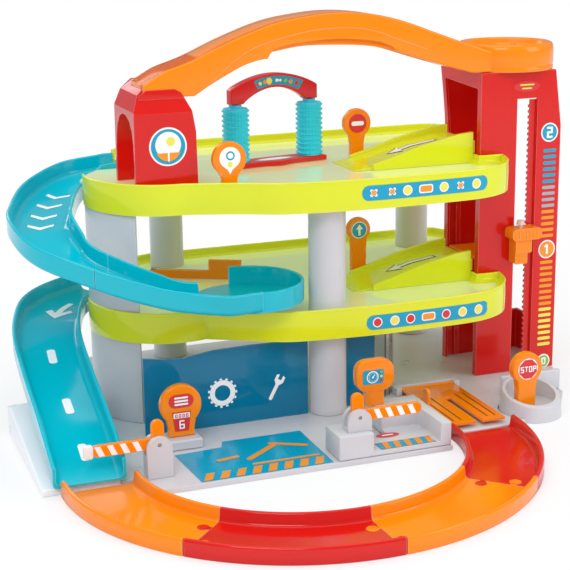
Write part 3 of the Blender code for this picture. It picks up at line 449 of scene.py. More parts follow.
def setLight():
    for name, lamp in lamps.items():
        data = bpy.data.lights.new(name, "AREA")
        data.shape = "RECTANGLE"
        data.size, data.size_y = lamp["size"]
        data.energy = lamp["watts"]
        item = bpy.data.objects.new(name, data)
        item.location = lamp["place"]
        aim = Vector(lamp["aim"]) - Vector(lamp["place"])
        item.rotation_euler = aim.to_track_quat("-Z", "Y").to_euler()
        bpy.context.scene.collection.objects.link(item)
    world = bpy.data.worlds.new("studio")
    bpy.context.scene.world = world
    world.use_nodes = True
    tree = world.node_tree
    glossy = addNode(tree, "LightPath", {}).outputs["Is Glossy Ray"]
    drop = combine(tree, "MULTIPLY", glossy, studio["glossyDrop"])
    strength = combine(tree, "SUBTRACT", studio["ambient"], drop)
    soft = feed(tree, tree.nodes["Background"], {"Color": studio["tint"], "Strength": strength}).outputs[0]
    white = addNode(tree, "Background", {"Color": (1, 1, 1, 1), "Strength": 1.0}).outputs[0]
    mixed = addNode(tree, "MixShader", {0: seenStraight(tree), 1: soft, 2: white}).outputs[0]
    feed(tree, tree.nodes["World Output"], {"Surface": mixed})


floorPaper = {"reach": 40.0, "z": -0.4 * mm, "colour": (0.88, 0.88, 0.885, 1),
              "near": 0.45, "far": 1.1, "least": 0.6}


def setFloor():
    # plain white far from the toy; near it the floor's own shading shows the shadow
    reach, z = floorPaper["reach"], floorPaper["z"]
    mesh = bpy.data.meshes.new("studioFloor")
    mesh.from_pydata([(-reach, -reach, z), (reach, -reach, z), (reach, reach, z), (-reach, reach, z)],
                     [], [(0, 1, 2, 3)])
    item = bpy.data.objects.new("studioFloor", mesh)
    bpy.context.scene.collection.objects.link(item)
    made = bpy.data.materials.new("floorPaper")
    made.use_nodes = True
    tree = made.node_tree
    paper = {"Base Color": floorPaper["colour"], "Roughness": 0.7}
    shader = feed(tree, tree.nodes["Principled BSDF"], paper).outputs[0]
    glow = addNode(tree, "Emission", {"Strength": 1.0}).outputs[0]
    coords = addNode(tree, "TexCoord", {}).outputs["Object"]
    distance = addNode(tree, "VectorMath", {0: coords}, operation="LENGTH").outputs["Value"]
    fade = {"Value": distance, "From Min": floorPaper["near"], "From Max": floorPaper["far"],
            "To Min": floorPaper["least"], "To Max": 1.0}
    far = addNode(tree, "MapRange", fade).outputs[0]
    share = combine(tree, "MULTIPLY", seenStraight(tree), far)
    mixed = addNode(tree, "MixShader", {0: share, 1: shader, 2: glow}).outputs[0]
    feed(tree, tree.nodes["Material Output"], {"Surface": mixed})
    mesh.materials.append(made)


bpy.context.scene.view_settings.view_transform = "Standard"
setCamera()
setLight()
setFloor()
print("stage: camera, light and floor")

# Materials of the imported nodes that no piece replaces
nodeLooks = {
    "redMoulding": ["tower_rack", "lift_guide_rail"],
    "steel": ["barrier_pin_left", "barrier_pin_right", "gate_pin", "weigh_plate_pin"],
    "nubMoulding": ["lift_release_nub"],
    "blueClear": ["workshop_screen_left", "workshop_screen_right"],
    "smokeClear": ["clear_screen"],
}
for look, names in nodeLooks.items():
    for name in names:
        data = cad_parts[name].data
        data.materials.clear()
        data.materials.append(materials[look])
        data.shade_smooth()
        data.set_sharp_from_angle(angle=math.radians(35))
print("stage: node materials")


# Decks: rims with a rounded lip and a soft cove down to the floor
storey = 150
deckTop = 131
deck = {
    "wall": 3.2, "below": 25, "above": 11, "lipRadius": 1.6,
    "cove": 7, "belly": 0.5,
    "lobe": np.array([-168, 113]), "lobeReach": np.array([90.5, 96]),
}
slides = {
    "halves": (39.5, 37),
    "height": 24,
    "wall": 3.4,
    "floor": 2.6,
    "lower": [(-225, 216, 143), (-256, 201, 141), (-284, 175, 138.5), (-303, 138, 134), (-317, 84, 119),
              (-319, 20, 93.5), (-318, -55, 63), (-318, -124.5, 33)],
    "upper": [(-184, 243.5, 288.6), (-200, 243, 288), (-232, 240, 284), (-262, 215, 277),
              (-288, 172, 271.5), (-309, 115, 264), (-319, 68, 257), (-305, 17, 237), (-258, -13, 213.5),
              (-198, -29, 191), (-146, -23, 177.5), (-116, -14, 175), (-103, -11.2, 174.6)],
    "bowl": np.array([-92, 20]), "bowlRadius": 66, "bowlLow": 149,
    "seam": np.array([-270, -8]),
}
slideLines = [smoothLine(slides[key], 180) for key in ("lower", "upper")]


frontKnots = [(-60, -27), (0, -37), (60, -41), (130, -40), (185, -35), (222, -16)]


def deckLine(soft):
    # front curve, the tower's notch, back curve, round lobe and the wavy joint beside it
    junction = (-104, -6) if soft else (-104, -2)
    front = [junction, *frontKnots, (243, 12), (252, 40)]
    right = [(252, 45), (221.4, 45), (221.4, 159), (288, 159), (300, 176), (300, 282), (288, 308),
             (262, 318)]
    back = [(-130, 318), (-168, 302), (-202, 260), (-226, 220), (-247, 176), (-260, 146)]
    lobe = arcLine((0, 0), 1, 172, 270 if soft else 286, 50) * deck["lobeReach"] + deck["lobe"]
    joint = [tuple(lobe[-1]), (-134, 6) if soft else (-138, 17), junction]
    joining = smoothLine(joint, 14)[1:-1]
    straight = resample(right, 5)
    last = np.argmin(np.linalg.norm(straight - np.array(right[-1]), axis=1))
    front, back = smoothLine(front, 110), smoothLine(back, 60)
    return np.vstack([front, straight[:last], back, lobe, joining])


def rimSection():
    wall, low, high, r, cove = deck["wall"], -deck["below"], deck["above"], deck["lipRadius"], deck["cove"]
    outer = np.linspace(low, high - r, 7)
    bulge = deck["belly"] * np.sin(np.pi * (outer - low) / (high - r - low))
    lip = arcLine((-wall / 2, high - r), wall / 2, 0, 180, 11)
    curve = arcLine((-wall - cove, cove + 0.05), cove, 0, -90, 9)
    shelf = [(curve[-1, 0], -0.1), (-wall - 3, -3.3), (-wall - 3, -5.3),
             (-wall, -5.3), (-wall, low)]
    return np.vstack([np.column_stack([bulge - deck["belly"], outer]), lip, curve, shelf])


for index in range(2):
    outline = deckLine(index == 1)
    lane = slideLines[index][None, :75, :2]
    outside = np.linalg.norm(outline[:, None] - lane, axis=2).min(axis=1) > slides["halves"][index] + 1
    first = int(np.argmax(outside & ~np.roll(outside, 1)))
    line = np.roll(outline, -first, axis=0)[np.roll(outside, -first)]
    form = carried(rimSection(), atHeight(line, deckTop + index * storey))
    placed(f"deckRim{index + 1}", form, "limeMoulding", replaced=[f"deck_{index + 1}_rim"], angle=50)
    sheet = softCopy(f"deck_{index + 1}_floor", 0.4, "deckFloor").data
    spots = np.empty(len(sheet.vertices) * 3)
    sheet.vertices.foreach_get("co", spots)
    spots = spots.reshape(-1, 3)
    # the floor is narrowed at its lobe, so it stays inside the rim
    middle, narrow = deck["lobe"][0] * mm, deck["lobeReach"][0] / deck["lobeReach"][1]
    left = (spots[:, 0] < middle) & (spots[:, 1] < 128 * mm)
    spots[left, 0] = middle + (spots[left, 0] - middle) * narrow
    sheet.vertices.foreach_set("co", spots.ravel())
    softCopy(f"exit_ramp_{index + 1}", 1.2, "limeMoulding", segments=3)
print("stage: decks")


# Slides: rolled lips, round inner corners, and the bowl that turns the upper one onto the deck
def channelSection(half, corner=5, inside=7):
    wall, low, floor = slides["wall"], -slides["height"], slides["floor"] - slides["height"]
    lip = wall / 2
    return np.vstack([
        arcLine((-half + corner, low + corner), corner, 180, 270, 7),
        arcLine((half - corner, low + corner), corner, 270, 360, 7),
        arcLine((half - lip * 1.25, -lip * 1.25), lip * 1.25, -20, 180, 12),
        arcLine((half - wall - inside, floor + inside), inside, 0, -90, 8),
        arcLine((-half + wall + inside, floor + inside), inside, -90, -180, 8),
        arcLine((-half + lip * 1.25, -lip * 1.25), lip * 1.25, 0, 200, 12),
    ])


lowerLine, upperLine = slideLines
seam = int(np.argmin(np.linalg.norm(upperLine[:, :2] - slides["seam"], axis=1)))
for name, node, half, line in (
    ("lowerSlide", "lower_slide", slides["halves"][0], lowerLine),
    ("upperSlide", "upper_slide", slides["halves"][1], upperLine[: seam + 1]),
):
    placed(name, carried(channelSection(half), line), "turquoiseMoulding", replaced=[node], angle=50)

bowl, bowlRadius, bowlLow = slides["bowl"], slides["bowlRadius"], slides["bowlLow"]
bowlFloor = bowlLow + slides["floor"]
tail = upperLine[seam:].copy()
tail[0] += (tail[1] - tail[0]) * 0.15
points, faces = carried(channelSection(slides["halves"][1]), tail)
within = np.hypot(points[:, 0] - bowl[0], points[:, 1] - bowl[1]) < bowlRadius - 2.2
points[within, 2] = np.minimum(points[within, 2], bowlFloor - 0.3)
placed("slideTail", (points, faces), "turquoiseMoulding", angle=50, weld=0.001, replaced=["slide_bowl"])
half, high, foot = slides["wall"] / 2, bowlLow + slides["height"], bowlLow + 1
lip = arcLine((0, high - half), half * 1.2, 0, 180, 11)
wallSection = np.vstack([[(half, foot)], lip, [(-half, foot)]])
for name, start, end, count in (("bowlWall", 92, -97, 90), ("bowlWallShort", 188, 169, 12)):
    ring = arcLine(bowl, bowlRadius - half, start, end, count)
    form = carried(wallSection, atHeight(ring, 0))
    placed(name, form, "turquoiseMoulding", replaced=["slide_bowl"], angle=50)
form = softPlate(discLine(bowl, bowlRadius, 120), bowlLow, bowlFloor, 1.2)
placed("bowlFloor", form, "turquoiseMoulding", replaced=["slide_bowl"])
print("stage: slides")


# Floor track: four curved pieces with round lips and jigsaw tabs
track = {
    "centre": np.array([-83, -125]), "reach": np.array([224.5, 216.5]), "half": 42,
    "height": 18, "floor": 4, "wall": 6, "joints": (180, 225, 272, 318, 360), "gap": 0.36,
    "tab": 6.5, "tabReach": 8.3, "tabOffset": 16.3,
    "looks": ("orangeMoulding", "redMoulding", "orangeMoulding", "redMoulding"),
}


def trackSpots(turn):
    # points on the track's middle line, and its direction there
    turn = np.atleast_1d(turn)
    along = np.column_stack([-np.sin(turn), np.cos(turn)]) * track["reach"]
    spot = track["centre"] + np.column_stack([np.cos(turn), np.sin(turn)]) * track["reach"]
    return spot, along / np.linalg.norm(along, axis=1)[:, None]


def trackSection():
    half, wall, high, floor = track["half"], track["wall"], track["height"], track["floor"]
    r = wall / 2
    right = np.vstack([
        [(half - 0.6, 0), (half, 0.8)], arcLine((half - r, high - r), r, 0, 150, 11),
        arcLine((half - wall - 5, floor + 4.5), 4.5, -20, -90, 7),
    ])
    return np.vstack([right, right[::-1] * np.array([-1, 1])])


space = track["gap"] / track["reach"][1]
for index, name in enumerate(("track_left", "track_front", "track_right", "track_exit")):
    start, end = np.radians(track["joints"][index : index + 2])
    spots, _ = trackSpots(np.linspace(start + space, end - space, 70))
    form, look = carried(trackSection(), atHeight(spots, 0)), track["looks"][index]
    placed(name.replace("_", ""), form, look, replaced=[name], angle=50)
tabParts = {
    "Disc": discLine((track["tabReach"], 0), track["tab"], 40),
    "Neck": np.array([(-1, -3.4), (3.5, -3.0), (3.5, 3.0), (-1, 3.4)]),
}
for index, degrees in enumerate(track["joints"][1:-1]):
    for way, owner, letter in ((1, index, "A"), (-1, index + 1, "B")):
        spot, along = (value[0] for value in trackSpots(math.radians(degrees)))
        along = along * way
        across = np.array([along[1], -along[0]])
        for part, flat in tabParts.items():
            flat = spot + across * track["tabOffset"] + flat[:, :1] * along + flat[:, 1:] * across
            if np.cross(flat[1] - flat[0], flat[2] - flat[1]) < 0:
                flat = flat[::-1]
            form = softPlate(flat, 0.5, track["floor"] + 0.35, 0.3)
            placed(f"tab{part}{index}{letter}", form, track["looks"][owner])
print("stage: track")


# Posts and curved panels
posts = {"front": (0.0, 0.0), "back_left": (-114.5, 288), "back_right": (232, 264)}
postShape = {"radius": 22.5, "collar": 0.5,
             "spans": ((6.3, 127.7), (131.3, 277.7))}
panelShape = {"radius": 87, "turn": (160, 236), "half": 2}
for part, (low, high) in zip(("lower", "upper"), postShape["spans"]):
    r, neck = postShape["radius"], postShape["radius"] - postShape["collar"]
    inner, cup = r - 3, high - 3
    profile = [(inner, low), (neck, low), (r, low + 0.6), (r, low + 7), (neck, low + 8),
               (neck, high - 8), (r, high - 7), (r, high - 0.6), (neck, high), (2, high),
               (2, cup), (inner, cup), (inner, low)]
    for spot, centre in posts.items():
        form = turnedSurface(profile, centre)
        placed(f"{spot}Post{part.title()}".replace("_", ""), form, "greyMoulding",
               replaced=[f"{spot}_post_{part}"], angle=30)
    panel = arcLine(deck["lobe"], panelShape["radius"], *panelShape["turn"], 60)
    section = roundedBox((-panelShape["half"], panelShape["half"]), (0, high - low), 0.8, 3)
    form = carried(section, atHeight(panel, low))
    placed(f"sidePanel{part.title()}", form, "greyMoulding", replaced=[f"side_panel_{part}"])
print("stage: posts and panels")


# Carrying arch: thin walls under a rounded top, a groove along its face and a hollow for the fingers
arch = {
    "front": 48, "back": 104,
    "top": [(-200, 400), (-186, 408), (-172, 415), (-140, 425.5), (-95, 444.5), (-45, 461.5), (0, 469),
            (38, 471.4), (78, 468.4), (118, 459), (160, 444), (196, 431), (216, 424.5), (232, 419),
            (250, 415.6)],
    "under": [(250, 392.3), (214, 392.6), (200, 396), (184, 400.5), (150, 411), (112, 423), (76, 431),
              (36, 434), (-8, 434.5), (-44, 429.5)],
    "leftUnder": [(-51, 423), (-66, 420.5), (-85, 414.5), (-118, 398), (-140, 385)],
    "grip": [(-52, 422), (-44, 432), (-24, 437), (4, 440), (36, 441), (76, 437.5), (100, 431),
             (112, 423.2)],
    "groove": [(-120, 400), (-74, 433), (-12, 450), (37, 454), (76, 450), (114, 437), (150, 424)],
}
archTop, under, leftUnder, grip, groove = (
    smoothLine(arch[key], count)
    for key, count in (("top", 120), ("under", 90), ("leftUnder", 40), ("grip", 50), ("groove", 80))
)
archUnder = np.vstack([under, leftUnder, [(-200, 385)]])
archOutline = np.vstack([archTop, archUnder])[::-1]
rightPart, leftPart = archUnder[archUnder[:, 0] > 112], archUnder[archUnder[:, 0] < -52]
skinOutline = np.vstack([archTop, rightPart, grip[::-1], leftPart])[::-1]
front, back = arch["front"], arch["back"]
for name, outline, low, high, radius in (
    ("archSkin", skinOutline, front, front + 8, 2.2),
    ("archWall", archOutline, front + 7, front + 11, 0.8),
    ("archBack", archOutline, back - 3, back, 1.2),
):
    form = softPlate(outline, low, high, radius, "XZ", 5)
    placed(name, form, "orangeMoulding", replaced=["arch_handle"], angle=40, weld=0)
roofSection = roundedBox((-3.5, 0), (front + 1.5, back - 1.5), 1.0, 3)
tangent = np.gradient(archTop, axis=0)
tangent /= np.linalg.norm(tangent, axis=1)[:, None]
normal = np.column_stack([-tangent[:, 1], tangent[:, 0]])
flat = archTop[:, None] + normal[:, None] * roofSection[:, :1]
deep = np.broadcast_to(roofSection[:, 1], flat.shape[:2])
roof = np.stack([flat[..., 0], deep, flat[..., 1]], axis=-1).reshape(-1, 3)
form = roof, tubeFaces(*flat.shape[:2])
placed("archRoof", form, "orangeMoulding", replaced=["arch_handle"], angle=40)
for name, low, high in (("archLeftEnd", -200, -132), ("archRightEnd", 168, 250)):
    kept = archOutline[(archOutline[:, 0] >= low) & (archOutline[:, 0] <= high)]
    form = softPlate(kept, front + 4, back - 2, 0.5, "XZ")
    placed(name, form, "orangeMoulding", replaced=["arch_handle"], angle=40, weld=0)
ridge = np.column_stack([groove[:, 0], np.full(len(groove), front), groove[:, 1]])
turn = np.radians(np.linspace(0, 360, 8, endpoint=False))
ring = np.column_stack([np.zeros(8), np.sin(turn) * 0.35, np.cos(turn) * 0.6])
form = (ridge[:, None] + ring).reshape(-1, 3), gridFaces(len(ridge), 8, wrapCols=True)
placed("archRidge", form, "orangeMoulding")

# Round cap: a dish with a raised rim, ten low studs and a tongue into the tower
cap = {
    "centre": np.array([277, 91]), "studs": 10, "studRing": 41,
    "profile": [(56, 392), (59.4, 392), (60, 392.8), (60, 396), (59.5, 397), (59.5, 399), (60, 400),
                (60, 417), (59, 421.5), (57.5, 424), (55, 425), (52, 424.6), (50, 422.6), (48.5, 419),
                (46.5, 416.9), (43, 416), (20, 415.6), (12, 416.2), (0.1, 416.4), (0.1, 412), (56, 412),
                (56, 392)],
    "studProfile": [(4.6, 415.4), (4.2, 416.4), (3.4, 418.2), (2.2, 419.2), (0.05, 419.4)],
}
form = turnedSurface(cap["profile"], cap["centre"], 128)
placed("roundCap", form, "orangeMoulding", replaced=["arch_handle"], angle=40)
for index, turn in enumerate(np.radians(10 + np.arange(cap["studs"]) * 36)):
    spot = cap["centre"] + cap["studRing"] * np.array([math.cos(turn), math.sin(turn)])
    form = turnedSurface(cap["studProfile"], spot, 24)
    placed(f"capStud{index}", form, "orangeMoulding", outward=upOf)
tongue = roundedBox((227.5, 232.5), (70, 96), 1)
placed("capTongue", softPlate(tongue, 379, 414, 1), "orangeMoulding", replaced=["arch_handle"])
print("stage: arch and cap")


# Hood, tower and wash
softCopy("slide_hood", 3.2, "redMoulding", segments=4, angle=28)
softCopy("tower_shell", 1.3, "redMoulding", segments=3)
softCopy("wash_base", 1.2, "redMoulding", segments=3)
wash = {
    "spots": np.array([(-60, 148), (43, 166)]), "radius": 17, "low": 288, "high": 354,
    "rows": 11, "studs": 26, "studRise": 0.12, "bore": 4.2,
    "thick": 14, "foot": 8.5, "crown": (376, 17.7), "soffit": (359, 17.6),
}
span = float(np.linalg.norm(wash["spots"][1] - wash["spots"][0]))
along = (wash["spots"][1] - wash["spots"][0]) / span
across = np.array([-along[1], along[0]])


def washMap(u, v, depth):
    # u runs from roller to roller, v is the height, depth is across the arch
    return np.column_stack([wash["spots"][0] + u[:, None] * along + depth[:, None] * across, v])


def washArc(share, over, form):
    # a bow over the rollers that reaches past each of them: a power of a sine of the share of its length
    base, rise = form
    bow = np.sin(np.pi * share) ** 0.8
    return np.column_stack([-over + share * (span + 2 * over), base + rise * bow])


share = np.linspace(0, 1, 70)
foot, half, (low, _) = wash["foot"], wash["thick"] / 2, wash["soffit"]
crown, soffit = washArc(share, foot, wash["crown"]), washArc(share, -foot, wash["soffit"])
outline = np.vstack([[(-foot, low)], crown, [(span + foot, low)], soffit[::-1]])[::-1]
points, faces = softPlate(outline, -half, half, 1.6, "XZ")
points = washMap(points[:, 0], points[:, 2], points[:, 1])
placed("washArch", (points, faces), "redMoulding", replaced=["wash_arch"], weld=0)


def studded(turn, z):
    # a row of bumps per rib: sine of the angle times a sine of the height, only its upper half
    low, high = wash["low"], wash["high"]
    row = np.sin((z - low) / (high - low) * math.pi * 2 * wash["rows"] - math.pi / 2)
    bump = np.clip(np.sin(turn * wash["studs"]) * 0.6 + 0.55, 0, 1)
    inside = (z > low + 0.2) & (z < high - 0.2)
    return 1 + inside * np.clip(row + 0.2, 0, 1) * (0.5 + 0.5 * bump) * wash["studRise"]


low, high, bore = wash["low"], wash["high"], wash["bore"]
heights = np.linspace(high, low, 12 * wash["rows"] + 1)
profile = np.array([
    (8, high + 4), (8, high + 0.6), (13, high + 0.3),
    *((wash["radius"] / (1 + wash["studRise"]), z) for z in heights),
    (8, low), (bore, low), (bore, high + 4), (8, high + 4),
])
for side, spot in zip(("left", "right"), wash["spots"]):
    form = turnedSurface(profile, spot, 6 * wash["studs"], studded)
    placed(f"washRoller{side.title()}", form, "rollerRubber", body=f"roller_{side}",
           replaced=[f"wash_roller_{side}"], angle=60)
print("stage: wash")


# Prints follow the surface they are on
def flatFront(x, y, z):
    # (u, v) to a plane that faces the front, its own place given in mm
    return lambda u, v: np.column_stack([x + u, np.full(len(u), y), z + v])


def flatTop(x, y, z):
    return lambda u, v: np.column_stack([x + u, y + v, np.full(len(u), z)])


digitBars = {"0": "abcdef", "2": "abged", "6": "afgedc", "S": "afgcd", "O": "abcdef", "P": "abefg"}


def digitShapes(sign, width, height, line, move=(0, 0)):
    # a sign made of seven bars: top, upper right, lower right, bottom, lower left, upper left, middle
    w, h = width / 2, height / 2
    bars = {"a": (width, 0, 0, h), "b": (h, 90, w, h / 2), "c": (h, 90, w, -h / 2), "d": (width, 0, 0, -h),
            "e": (h, 90, -w, -h / 2), "f": (h, 90, -w, h / 2), "g": (width, 0, 0, 0)}
    if sign == "T":
        return [barLine(width + line, line, 0, (move[0], move[1] + h)), barLine(height, line, 90, move)]
    chosen = [bars[letter] for letter in digitBars[sign]]
    return [barLine(size + line, line, turn, (x + move[0], y + move[1])) for size, turn, x, y in chosen]


def rowOf(text, width, height, line, step, z=0):
    # the signs of a word side by side, centred on 0
    middle = (len(text) - 1) / 2
    return [bar for i, sign in enumerate(text)
            for bar in digitShapes(sign, width, height, line, ((i - middle) * step, z))]


def oval(a, b, count=48):
    return discLine((0, 0), 1, count) * np.array([a, b])


# Signs: soft plates with printed faces. Each is x, y, foot, top, half head, half stem and thickness in mm
signs = {
    "pin_sign": (-111, 20, 281.3, 336, 20, 9, 9), "no_entry_sign": (101, 151, 281.3, 344, 18.5, 9, 9),
    "up_arrow_sign": (101, 146, 131.3, 205, 16, 10, 9), "fuel_pump": (-196, -45, 18.3, 79, 24, 15, 10),
    "stop_sign": (213, -95, 12.3, 81, 19.5, 11.5, 12),
}


def signLine(x, low, top, headHalf, stemHalf):
    # a round head that flares into an upright stem
    headZ = top - headHalf
    start = -90 + math.degrees(math.asin(min(stemHalf / headHalf, 0.95)) + 0.12)
    head = arcLine((x, headZ), headHalf, start, 180 - start, 70)
    flare = low + (headZ - headHalf - low) * 0.7
    edge = x + stemHalf
    right = smoothLine([(edge, flare - 0.4), (edge, flare), tuple(head[0]), tuple(head[1])], 14)[:-2]
    left = np.column_stack([2 * x - right[::-1, 0], right[::-1, 1]])
    return np.vstack([[(edge, low)], right, head, left, [(x - stemHalf, low)]])


def signFace(name, depth):
    x, y, _, top, headHalf, _, thick = signs[name]
    return flatFront(x, y - thick / 2 - depth, top - headHalf)


for name, (x, y, low, top, headHalf, stemHalf, thick) in signs.items():
    outline = signLine(x, low, top, headHalf, stemHalf)
    form = softPlate(outline, (y - thick / 2), (y + thick / 2), 2, "XZ", 5)
    first, rest = name.split("_", 1)
    placed(first + rest.title().replace("_", ""), form, "orangeMoulding", replaced=[name], weld=0)
dropLine = np.vstack([arcLine((0, 1.5), 12.5, -40, 220, 40), [(-3, -12), (0, -17), (3, -12)]])
arrowUp = np.array([(-1.6, -7), (1.6, -7), (1.6, 1), (5, 1), (0, 7.5), (-5, 1), (-1.6, 1)])
octagon = arcLine((0, 0), 12.4, 22.5, 382.5, 9)[:-1]
panel = np.array([(-8, -30), (8, -30), (11, -7), (-11, -7)])
badge, window = roundedBox((-14.5, 14.5), (-2.5, 13.5), 7.8), roundedBox((-9.5, 9.5), (-14.5, -8.5), 1)
# how far a print lies before its sign's face grows with each layer
for name, ink, sign, depth, shapes in (
    ("pinMark", "white", "pin_sign", 0.25, [dropLine]),
    ("pinRing", "teal", "pin_sign", 0.5, ringShapes((0.5, 4), 5.2, 3.4)),
    ("pinDot", "yellow", "pin_sign", 0.5, [discLine((0, -6), 3)]),
    ("noEntryDisc", "red", "no_entry_sign", 0.25, [discLine((0, 0), 12)]),
    ("noEntryBar", "white", "no_entry_sign", 0.5, [barLine(17, 5.5)]),
    ("upDisc", "white", "up_arrow_sign", 0.25, [discLine((0, 0), 11)]),
    ("upTeal", "teal", "up_arrow_sign", 0.5, [discLine((0, 0), 9.8)]),
    ("upArrow", "white", "up_arrow_sign", 1.0, [arrowUp]),
    ("stopRim", "white", "stop_sign", 0.25, [discLine((0, 0), 13, 40)]),
    ("stopRed", "red", "stop_sign", 0.8, [octagon]),
    ("stopWord", "white", "stop_sign", 1.2, rowOf("STOP", 3.2, 6, 1.3, 5.4)),
    ("pumpBadge", "red", "fuel_pump", 0.28, [badge]),
    ("pumpLevel", "white", "fuel_pump", 0.7, [barLine(16, 2.2, 0, (0, z)) for z in (9.3, 5.5, 1.7)]),
    ("pumpPanel", "red", "fuel_pump", 0.28, [panel]),
    ("pumpWindow", "white", "fuel_pump", 0.7, [window]),
    ("pumpDigits", "red", "fuel_pump", 1.1, rowOf("0000", 1.9, 3.4, 0.7, 4.2, -11.5)),
    ("pumpSix", "white", "fuel_pump", 1.1, digitShapes("6", 4.6, 8.5, 1.6, (0, -22))),
):
    printed(name, ink, signFace(sign, depth), shapes)

# Air station: a dial with ticks, and three lights
softCopy("air_station", 1.0, "orangeMoulding")
dial, tickRing = (-4, -1), 4.9


def airFace(step):
    return flatFront(27, -80.1 - 0.3 * step, 70.5)


tickSpots = zip(range(0, 360, 30), discLine(dial, tickRing, 12))
ticks = [barLine(1.5, 0.7, turn, spot) for turn, spot in tickSpots]
ticks += [barLine(4, 1.1, 50, (-3, 0.4)), discLine(dial, 1.2)]
printed("airPanel", "teal", airFace(1), [roundedBox((-16, 10), (-9.5, 7.5), 2.2)])
printed("airDial", "white", airFace(2), [discLine(dial, 7.4)])
printed("airInner", "teal", airFace(3), [discLine(dial, 6.1)])
printed("airTicks", "white", airFace(4), ticks)
for ink, z in (("green", 4.4), ("yellow", -0.6), ("red", -5.6)):
    printed(f"airLight{ink}Ink", ink, airFace(4), [discLine((6.6, z), 1.6)])

# Barriers: soft arms with slanting stripes
barriers = {"left": ((-243, -121, 43.5), -1, 71), "right": ((-22, -141, 50), 1, 77)}
stripe = np.array([(-3, -5.6), (3.4, -5.6), (-1.6, 5.6), (-8, 5.6)])
for side, ((x, y, z), way, reach) in barriers.items():
    softCopy(f"barrier_arm_{side}", 0.8, "orangeMoulding", body=f"barrier_{side}")
    softCopy(f"barrier_housing_{side}", 1.2, "greyMoulding")
    stripes = [stripe + np.array([way * (reach - 10 - step * 13.5), 0]) for step in range(4)]
    for face, depth, outward in (("Front", -2.95, frontOf), ("Back", 2.95, (0, 1, 0))):
        name, mapping = f"stripes{face}{side.title()}", flatFront(x, y + depth, z)
        printed(name, "white", mapping, stripes, outward, f"barrier_{side}")
tipLine = roundedBox((-323, -313), (36.1, 50.9), 2.6, 4)
form = softPlate(tipLine, -123.9, -118.1, 0.9, "XZ")
placed("barrierTip", form, "paleMoulding", body="barrier_left", weld=0)

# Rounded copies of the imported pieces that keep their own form
for name, width, look, body in (
    ("base_plate", 1.0, "grey", garage), ("front_kerb_block", 1.0, "grey", garage),
    ("pump_plinth", 1.2, "grey", garage), ("sign_podium", 0.8, "grey", garage),
    ("podium_wall", 1.2, "grey", garage), ("weigh_plate_bearing", 0.8, "grey", garage),
    ("lift_knob", 1.0, "orange", "lift"), ("lift_platform", 0.8, "orange", "lift"),
    ("diverter_gate", 0.8, "orange", "gate"), ("weigh_plate", 0.5, "orange", "weigh_pan"),
):
    softCopy(name, width, look + "Moulding", body=body)
softCopy("slide_foot_wedge", 2.0, "paleMoulding", segments=3)
for index in range(7):
    low, high = ((start + index * 5) for start in (262.2, 263.8))
    ribLine = roundedBox((low, high), (186.5, 196.5), 0.8, 3)
    form = softPlate(ribLine, 23.3, 24.6, 0.5, "XZ", 3)
    placed(f"knobRib{index}", form, "orangeMoulding", body="lift")
# painted shade: dark bars laid flat on the weigh plate's top stand for the shade in its grooves
for index, x in enumerate((112, 122, 156, 166)):
    mapping = flatTop(x, -68, 14.12)
    printed(f"plateGrooveShade{index}", "dark", mapping, [barLine(84, 1.6, 90)], upOf, "weigh_pan")
print("stage: signs, barriers and small pieces")

# Deck strips: a turquoise band with dots, crosses and a plain block
frontCurve = smoothLine([(-104, -6), *frontKnots], 200)
strips = {
    "deck2": {"z": 275, "ends": (27.5, 190), "cross": (41.5, 64.2, 152), "yellow": (83.4, 130.2, 173.6),
              "red": (), "block": 106.8},
    "deck1": {"z": 121.5, "ends": (33, 195.5), "cross": (), "yellow": (68.3, 157.8, 180.2),
              "red": (46.5, 88.5, 135.6), "block": 112},
}


def stripMap(z, lift):
    # the band follows the deck's front curve
    def mapping(u, v):
        return np.column_stack([u, np.interp(u, frontCurve[:, 0], frontCurve[:, 1]) - lift, z + v])
    return mapping


def crossShapes(spots, size):
    return [barLine(size, size * 0.32, turn, (x, 0)) for x in spots for turn in (45, -45)]


for name, strip in strips.items():
    z, crosses, block = strip["z"], strip["cross"], strip["block"]
    rims = [discLine((x, 0), 6) for x in strip["yellow"] + strip["red"]] + crossShapes(crosses, 11)
    rims.append(roundedBox((block - 9, block + 9), (-5, 5), 3))
    marks = crossShapes(crosses, 7.6) + [roundedBox((block - 7.4, block + 7.4), (-3.6, 3.6), 2)]
    printed(name + "Strip", "teal", stripMap(z, 0.25), [roundedBox(strip["ends"], (-8.8, 8.8), 8.4, 10)])
    printed(name + "Rims", "white", stripMap(z, 0.45), rims)
    for ink in ("yellow", "red"):
        dots = [discLine((x, 0), 4.7) for x in strip[ink]]
        if dots:
            printed(name + ink.title(), ink, stripMap(z, 0.65), dots)
    printed(name + "Marks", "orange", stripMap(z, 0.65), marks)


# Wash: printed band on the arch and an oval on its base
def archBand(depth):
    def mapping(u, v):
        share = np.clip(u, 0, 1)
        reach = wash["foot"]
        high, low = washArc(share, reach, wash["crown"]), washArc(share, -reach, wash["soffit"])
        flat = low + (high - low) * v[:, None]
        return washMap(flat[:, 0], flat[:, 1], np.full(len(u), -wash["thick"] / 2 - depth))
    return mapping


def bandOvals(*spots):
    # on the band u is the share of the arch's length and v the share of its height
    return [oval(r / 110, r / 17, 24) + np.array([x, 0.5]) for x, r in spots]


